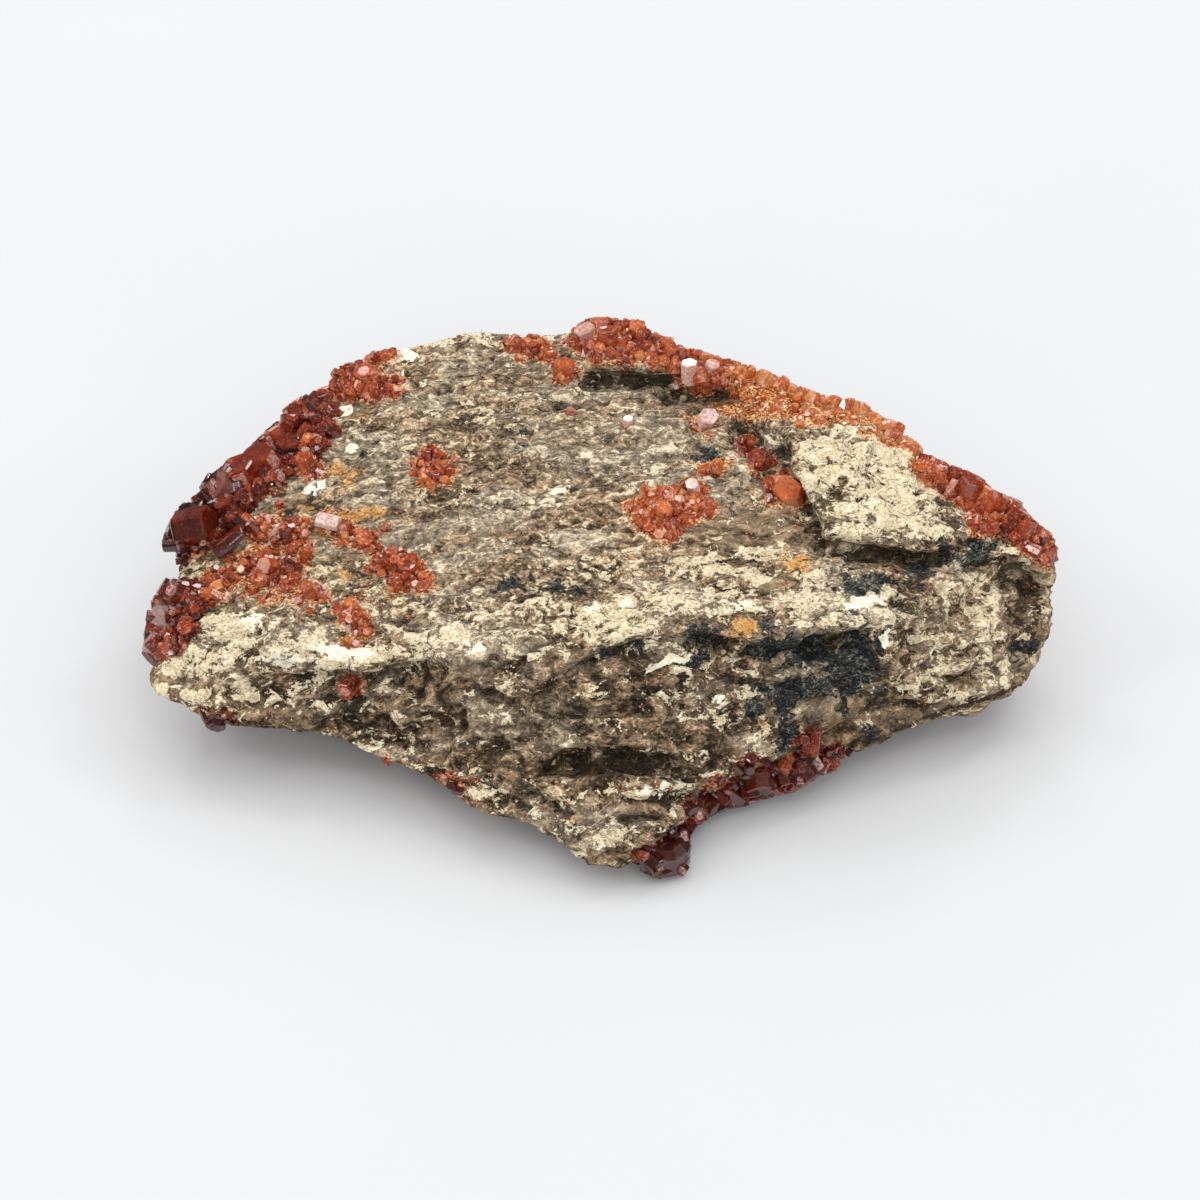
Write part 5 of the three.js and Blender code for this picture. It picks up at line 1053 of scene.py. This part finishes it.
# each visible group is one piece: its larger surveyed crystals, with middling and small ones grown between and around them
ground = []  # where the rock below them is stained: point and reach in mm
for name, rows in GROUPS.items():
    tone0, pale_glint_share, least, middling, per_mid, per_small, reach = LOOK[name]
    piece = Druse("looks_" + name)
    taken = []
    for i, row in enumerate(rows):
        p, nn = seat_by_sight(*MOVED.get(row[:2], row[:2]))
        ground.append((p, row[2] * 0.95, tone0))
        if len(row) < 4 and row[2] < least:
            continue
        center, axis, length, roll = crystal_on(p, nn, *row)
        radius, part = row[2] * TRIM.get(row[:2], (1, 1))[0], TRIM.get(row[:2], (1, 1))[1]
        center, length = center - axis * length * (1 - part) * 0.5, length * part
        center = keep_within(center, axis, radius, length)
        center, length = clear_of_floor(center, axis, radius, length)
        if center is None:
            continue
        b = PALE_AND_GLINTS.get((row[0], row[1]), 0.0)
        flat = 0.42 if name == "leaf_shaped_crystal" else 1.0
        piece.add(center, axis, radius, length, roll, min(1, max(0, tone0 + rng.normal(0, 0.07))), b, taper=rng.uniform(0.92, 1.0), corner=rng.uniform(0.06, 0.13), hopper=rng.choice([0, 0.08, 0.14]), flat=flat)
        taken.append((row[0], row[1], row[2] * (2.0 if name in ("large_left_crystals", "groove_large_crystals") else 1.25)))
    for lo_r, hi_r, count, wide in ((*(middling or (0.4, 0.5)), int(per_mid * 1.8), 1.0), (0.16, 0.42, int(per_small * 1.6), reach * 0.85)):
        done = 0
        for _ in range(count * len(rows) * 6):
            if done >= count * len(rows):
                break
            row = rows[rng.randint(len(rows))]
            out = (row[2] * 9.0 + wide) * math.sqrt(rng.uniform())
            w = rng.uniform(0, 2 * math.pi)
            a, d = row[0] + out * math.cos(w), row[1] + out * math.sin(w) * 0.8
            size = lo_r + (hi_r - lo_r) * rng.uniform() ** 1.5
            if any((a - q[0]) ** 2 + ((d - q[1]) * 1.2) ** 2 < (3.7 * (size + q[2])) ** 2 for q in taken):
                continue
            p, nn = seat_by_sight(a, d)
            sa, sd = sighted(p)
            if math.hypot(sa - a, sd - d) > 9:
                continue
            axis = nn + rng.normal(0, 0.8, 3)
            axis = axis / np.linalg.norm(axis)
            if axis @ nn < 0.25:
                axis = axis + nn * 0.6
                axis = axis / np.linalg.norm(axis)
            tall = size * rng.uniform(1.1, 2.8) + 0.15
            swell = (0.2 if name == "centre_cluster" else 0.4) * max(0, 1 - out / (row[2] * 9.0 + 2.0)) + rng.uniform(-0.15, 0.12)
            center = p + axis * tall * 0.12 + nn * (swell - (0.3 if name == "orange_rim_crust" else 0))
            center = keep_within(center, axis, size, tall)
            center, tall = clear_of_floor(center, axis, size, tall)
            if center is None:
                continue
            taken.append((a, d, size))
            done += 1
            ground.append((p, size * 1.25, tone0))
            # some small ones painted pale, as glints of light
            b = rng.uniform(0.4, 0.85) if rng.uniform() < pale_glint_share * 1.3 and size < 0.34 else 0.0
            tn = min(1, max(0, tone0 + rng.normal(0, 0.13)))
            if size > 0.5:
                piece.add(center, axis, size, tall, rng.uniform(0, 1), tn, b, taper=rng.uniform(0.9, 1.0), corner=rng.uniform(0.06, 0.13), hopper=rng.choice([0, 0.1]))
            else:
                piece.small(center, axis, size, tall, rng.uniform(0, 1), tn, b)
    if name in FRINGE:
        run, lo_r, hi_r = FRINGE[name]
        spare = Druse("spare")  # takes the crystals that would stand free beside the rock's recess
        for (a0, d0), (a1, d1) in zip(run[:-1], run[1:]):
            far = math.hypot(a1 - a0, d1 - d0)
            steps = max(1, int(far / (3.0 if hi_r < 0.7 else 4.0)))
            for k in range(steps):
                t = (k + rng.uniform()) / steps
                size = rng.uniform(lo_r, hi_r)
                edge_at = np.array([a0 + (a1 - a0) * t, d0 + (d1 - d0) * t])
                inward = np.array([600.0, 600.0]) - edge_at
                a, d = edge_at + inward / np.linalg.norm(inward) * (size * 9.6 * 0.8 + rng.uniform(0, 5))
                p, nn = seat_by_sight(a, d)
                ray = sight_ray(a, d)
                aim = EYE + ray * np.dot(p - EYE, ray)
                gap = np.linalg.norm(aim - p)
                if gap > 2.6:
                    continue
                axis = (aim - p) + nn * 0.35 + rng.normal(0, 0.36, 3)
                axis = axis / np.linalg.norm(axis)
                tall = gap + size * rng.uniform(1.1, 1.7)
                center = p + axis * (tall * 0.5 - size * 0.5)
                center = keep_within(center, axis, size, tall, 0.5)
                center, tall = clear_of_floor(center, axis, size, tall)
                if center is None:
                    continue
                kept = spare if name == "large_left_crystals" and edge_at[1] > 547 else piece
                kept.add(center, axis, size, tall, rng.uniform(0, 1), min(1, max(0, tone0 + rng.normal(0, 0.1))), 0.0, taper=rng.uniform(0.88, 1.0), corner=rng.uniform(0.06, 0.13), hopper=rng.choice([0, 0.1]))
                ground.append((p, size * 1.3, tone0))
    for a, d, r, tn, b, owner in STRAYS:
        if owner == name:
            p, nn = seat_by_sight(a, d)
            axis = nn + rng.normal(0, 0.3, 3)
            axis = axis / np.linalg.norm(axis)
            center = keep_within(p + axis * r * 0.4, axis, r, r * 1.8)
            center, tall = clear_of_floor(center, axis, r, r * 1.8)
            if center is not None:
                piece.add(center, axis, r, tall, rng.uniform(0, 1), tn, b)
                ground.append((p, r, tone0))
    if name == "front_tip_crystals":
        fx, fy, fr = FRONT_FOOT
        piece.add(np.array([fx, fy, 1.7]) + SHIFT, (0, 0, -1), fr, 3.4, 0.3, 0.05, 0.0, taper=1.0, corner=0.2, bevel=0.5, flat_down=True)
    piece.build(C.mat, [name])

# ------------------------------------------------------------------ the hidden side: a crowded druse
under = [Druse("looks_underside_druse"), Druse("looks_flank_druse")]
hid = np.nonzero((seen < 0.15) & (nor[:, 2] < 0.75))[0]
rng.shuffle(hid)
grid = {}


def crowded(p, gap):
    c = tuple(np.floor(p / 3.0).astype(int))
    for dx in (-1, 0, 1):
        for dy in (-1, 0, 1):
            for dz in (-1, 0, 1):
                for q, g in grid.get((c[0] + dx, c[1] + dy, c[2] + dz), ()):
                    if (p[0] - q[0]) ** 2 + (p[1] - q[1]) ** 2 + (p[2] - q[2]) ** 2 < ((gap + g) * 0.5) ** 2:
                        return True
    return False


def keep(p, gap):
    grid.setdefault(tuple(np.floor(p / 3.0).astype(int)), []).append((p, gap))


def peeks(center, axis, radius, length):
    """Whether any of it would show in the surveyed view."""
    for q in (*ends(center, axis, radius * 1.15, length + 0.2), center + axis * length / 2):
        way = q - EYE
        far = np.linalg.norm(way)
        if bvh.ray_cast(Vector(EYE), Vector(way / far), far - 0.02)[0] is None:
            return True
    return False


for fx, fy, fr in UNDER_FEET:
    o = bvh.ray_cast(Vector((fx + SHIFT[0], fy + SHIFT[1], -5)), Vector((0, 0, 1)))
    topz = o[0][2] + 0.6
    under[0].add(np.array([fx + SHIFT[0], fy + SHIFT[1], topz / 2]), (0, 0, -1), fr, topz, float(fx), 0.35, 0.0, taper=1.0, corner=0.08, bevel=0.06, flat_down=True)
    keep(np.array([fx + SHIFT[0], fy + SHIFT[1], o[0][2]]), fr * 2.1)
made = []
BOX_LO, BOX_HI = np.array(cad_box[0]) / MM, np.array(cad_box[1]) / MM
for lo_r, hi_r, packing, most in [(1.4, 2.1, 2.2, 60), (0.9, 1.4, 1.85, 420), (0.5, 0.9, 1.7, 1500), (0.3, 0.5, 1.7, 1500)]:
    count = 0
    for i in hid:
        if count >= most:
            break
        r = rng.uniform(lo_r, hi_r)
        p = co[i]
        if crowded(p, r * packing):
            continue
        nn = soft_normal(p)
        axis = nn + rng.normal(0, 0.28, 3)
        axis = axis / np.linalg.norm(axis)
        tall = r * rng.uniform(1.0, 1.7) + 0.5
        center = p + axis * (tall / 2 - 0.35)
        reach_out = max((ends(center, axis, r, tall) - BOX_HI).max(), (BOX_LO - ends(center, axis, r, tall))[:, :2].max())
        if reach_out > 0.7 or peeks(center, axis, r, tall):
            continue
        center, tall = clear_of_floor(center, axis, r, tall)
        if center is None:
            continue
        keep(p, r * packing)
        count += 1
        target = under[1] if nn[2] > -0.35 else under[0]
        tn = min(1, max(0, 0.34 + rng.normal(0, 0.12)))
        if r > 0.8:
            target.add(center, axis, r, tall, rng.uniform(0, 1), tn, 0.0, taper=rng.uniform(0.92, 1.0), corner=rng.uniform(0.06, 0.12), hopper=rng.choice([0, 0.1, 0.16]))
        else:
            target.small(center, axis, r, tall, rng.uniform(0, 1), tn, 0.0)
    made.append(count)
under[0].build(C.mat, ["underside_druse"])
under[1].build(C.mat, ["underside_druse"])
print("hidden crystals", made, "under faces", len(under[0].faces), len(under[1].faces), "rock verts", n, "rock faces", len(fine.polygons))

# the stained ground round the visible crystals
stain = {"rust": np.zeros(n), "seat": np.zeros(n)}
for p, reach, tone0 in ground:
    near = np.nonzero((np.abs(co - p) < reach * 2.4 + 0.2).all(1))[0]
    dist = np.linalg.norm(co[near] - p, axis=1)
    kept = stain["rust" if tone0 < 0.35 else "seat"]
    kept[near] = np.maximum(kept[near], 1.15 * np.exp(-((dist / (reach * 1.25 + 0.12)) ** 2)))
zones["rust"] = np.maximum(zones["rust"], stain["rust"])
zones["seat"] = stain["seat"]
for name, values in zones.items():
    a = fine.attributes.new(name, "FLOAT", "POINT")
    a.data.foreach_set("value", np.ascontiguousarray(values, dtype=np.float32))

# ------------------------------------------------------------------ floor, light, camera
bpy.ops.mesh.primitive_plane_add(size=6.0, location=(0, 0, 0))
floor = bpy.context.object
floor.name = "floor"
F = Nodes("floor")
fb = F.add("ShaderNodeBsdfPrincipled")
fn = F.noise(F.coords((0.02, 0.02, 0.02)), 1.0, 3, 0.5)
F.link(F.ramp(fn, [(0.3, (0.536, 0.542, 0.552)), (0.7, (0.544, 0.550, 0.560))]), fb.inputs["Base Color"])
fb.inputs["Roughness"].default_value = 0.9
fb.inputs["Specular IOR Level"].default_value = 0.1
F.link(fb.outputs[0], F.out.inputs[0])
floor.data.materials.append(F.mat)


def area(name, loc_, target, size, power, color=(1, 1, 1)):
    light = bpy.data.lights.new(name, "AREA")
    light.shape = "RECTANGLE"
    light.size, light.size_y = size
    light.energy = power
    light.color = color
    o = bpy.data.objects.new(name, light)
    o.location = loc_
    o.rotation_euler = (Vector(target) - Vector(loc_)).to_track_quat("-Z", "Y").to_euler()
    bpy.context.scene.collection.objects.link(o)
    return o


overhead = area("overhead", (-0.06, 0.10, 0.95), (0, 0, 0.01), (1.5, 1.5), 5.6, (1.0, 0.99, 0.975))
overhead.visible_glossy = False  # no veil over the crystals' faces
area("front_fill", (0.1, -0.9, 0.6), (0, 0, 0.01), (0.8, 0.5), 3.2, (1.0, 0.99, 0.98)).visible_glossy = False
area("left_low", (-0.80, 0.15, 0.22), (0, 0, 0.01), (0.26, 0.20), 0.5)
for i, (x, y, z, power) in enumerate([(-0.25, 0.30, 0.55, 0.35), (0.30, 0.22, 0.50, 0.3), (-0.42, -0.12, 0.45, 0.3), (0.10, -0.35, 0.60, 0.25), (0.0, 0.45, 0.40, 0.25), (0.60, -0.05, 0.35, 0.25)]):
    area("glint_%d" % i, (x, y, z), (0, 0, 0.01), (0.11, 0.11), power)
world = bpy.data.worlds.new("studio")
world.use_nodes = True
wt = world.node_tree
sky = wt.nodes["Background"]
sky.inputs[0].default_value = (1.0, 1.0, 1.0, 1)
path = wt.nodes.new("ShaderNodeLightPath")
level = wt.nodes.new("ShaderNodeMath")
level.operation = "MULTIPLY_ADD"
level.inputs[1].default_value = -0.78
level.inputs[2].default_value = 0.92
wt.links.new(path.outputs["Is Glossy Ray"], level.inputs[0])
wt.links.new(level.outputs[0], sky.inputs[1])
bpy.context.scene.world = world
bpy.context.scene.view_settings.view_transform = "Standard"
bpy.context.scene.view_settings.look = "None"

cam_data = bpy.data.cameras.new("camera")
cam_data.lens = 120
cam_data.sensor_width = 36
cam_data.sensor_fit = "HORIZONTAL"
cam_data.clip_start, cam_data.clip_end = 0.01, 20
cam = bpy.data.objects.new("camera", cam_data)
bpy.context.scene.collection.objects.link(cam)
cam.location = tuple(EYE * MM)
cam.rotation_euler = (math.radians(50), 0, 0)
bpy.context.scene.camera = cam
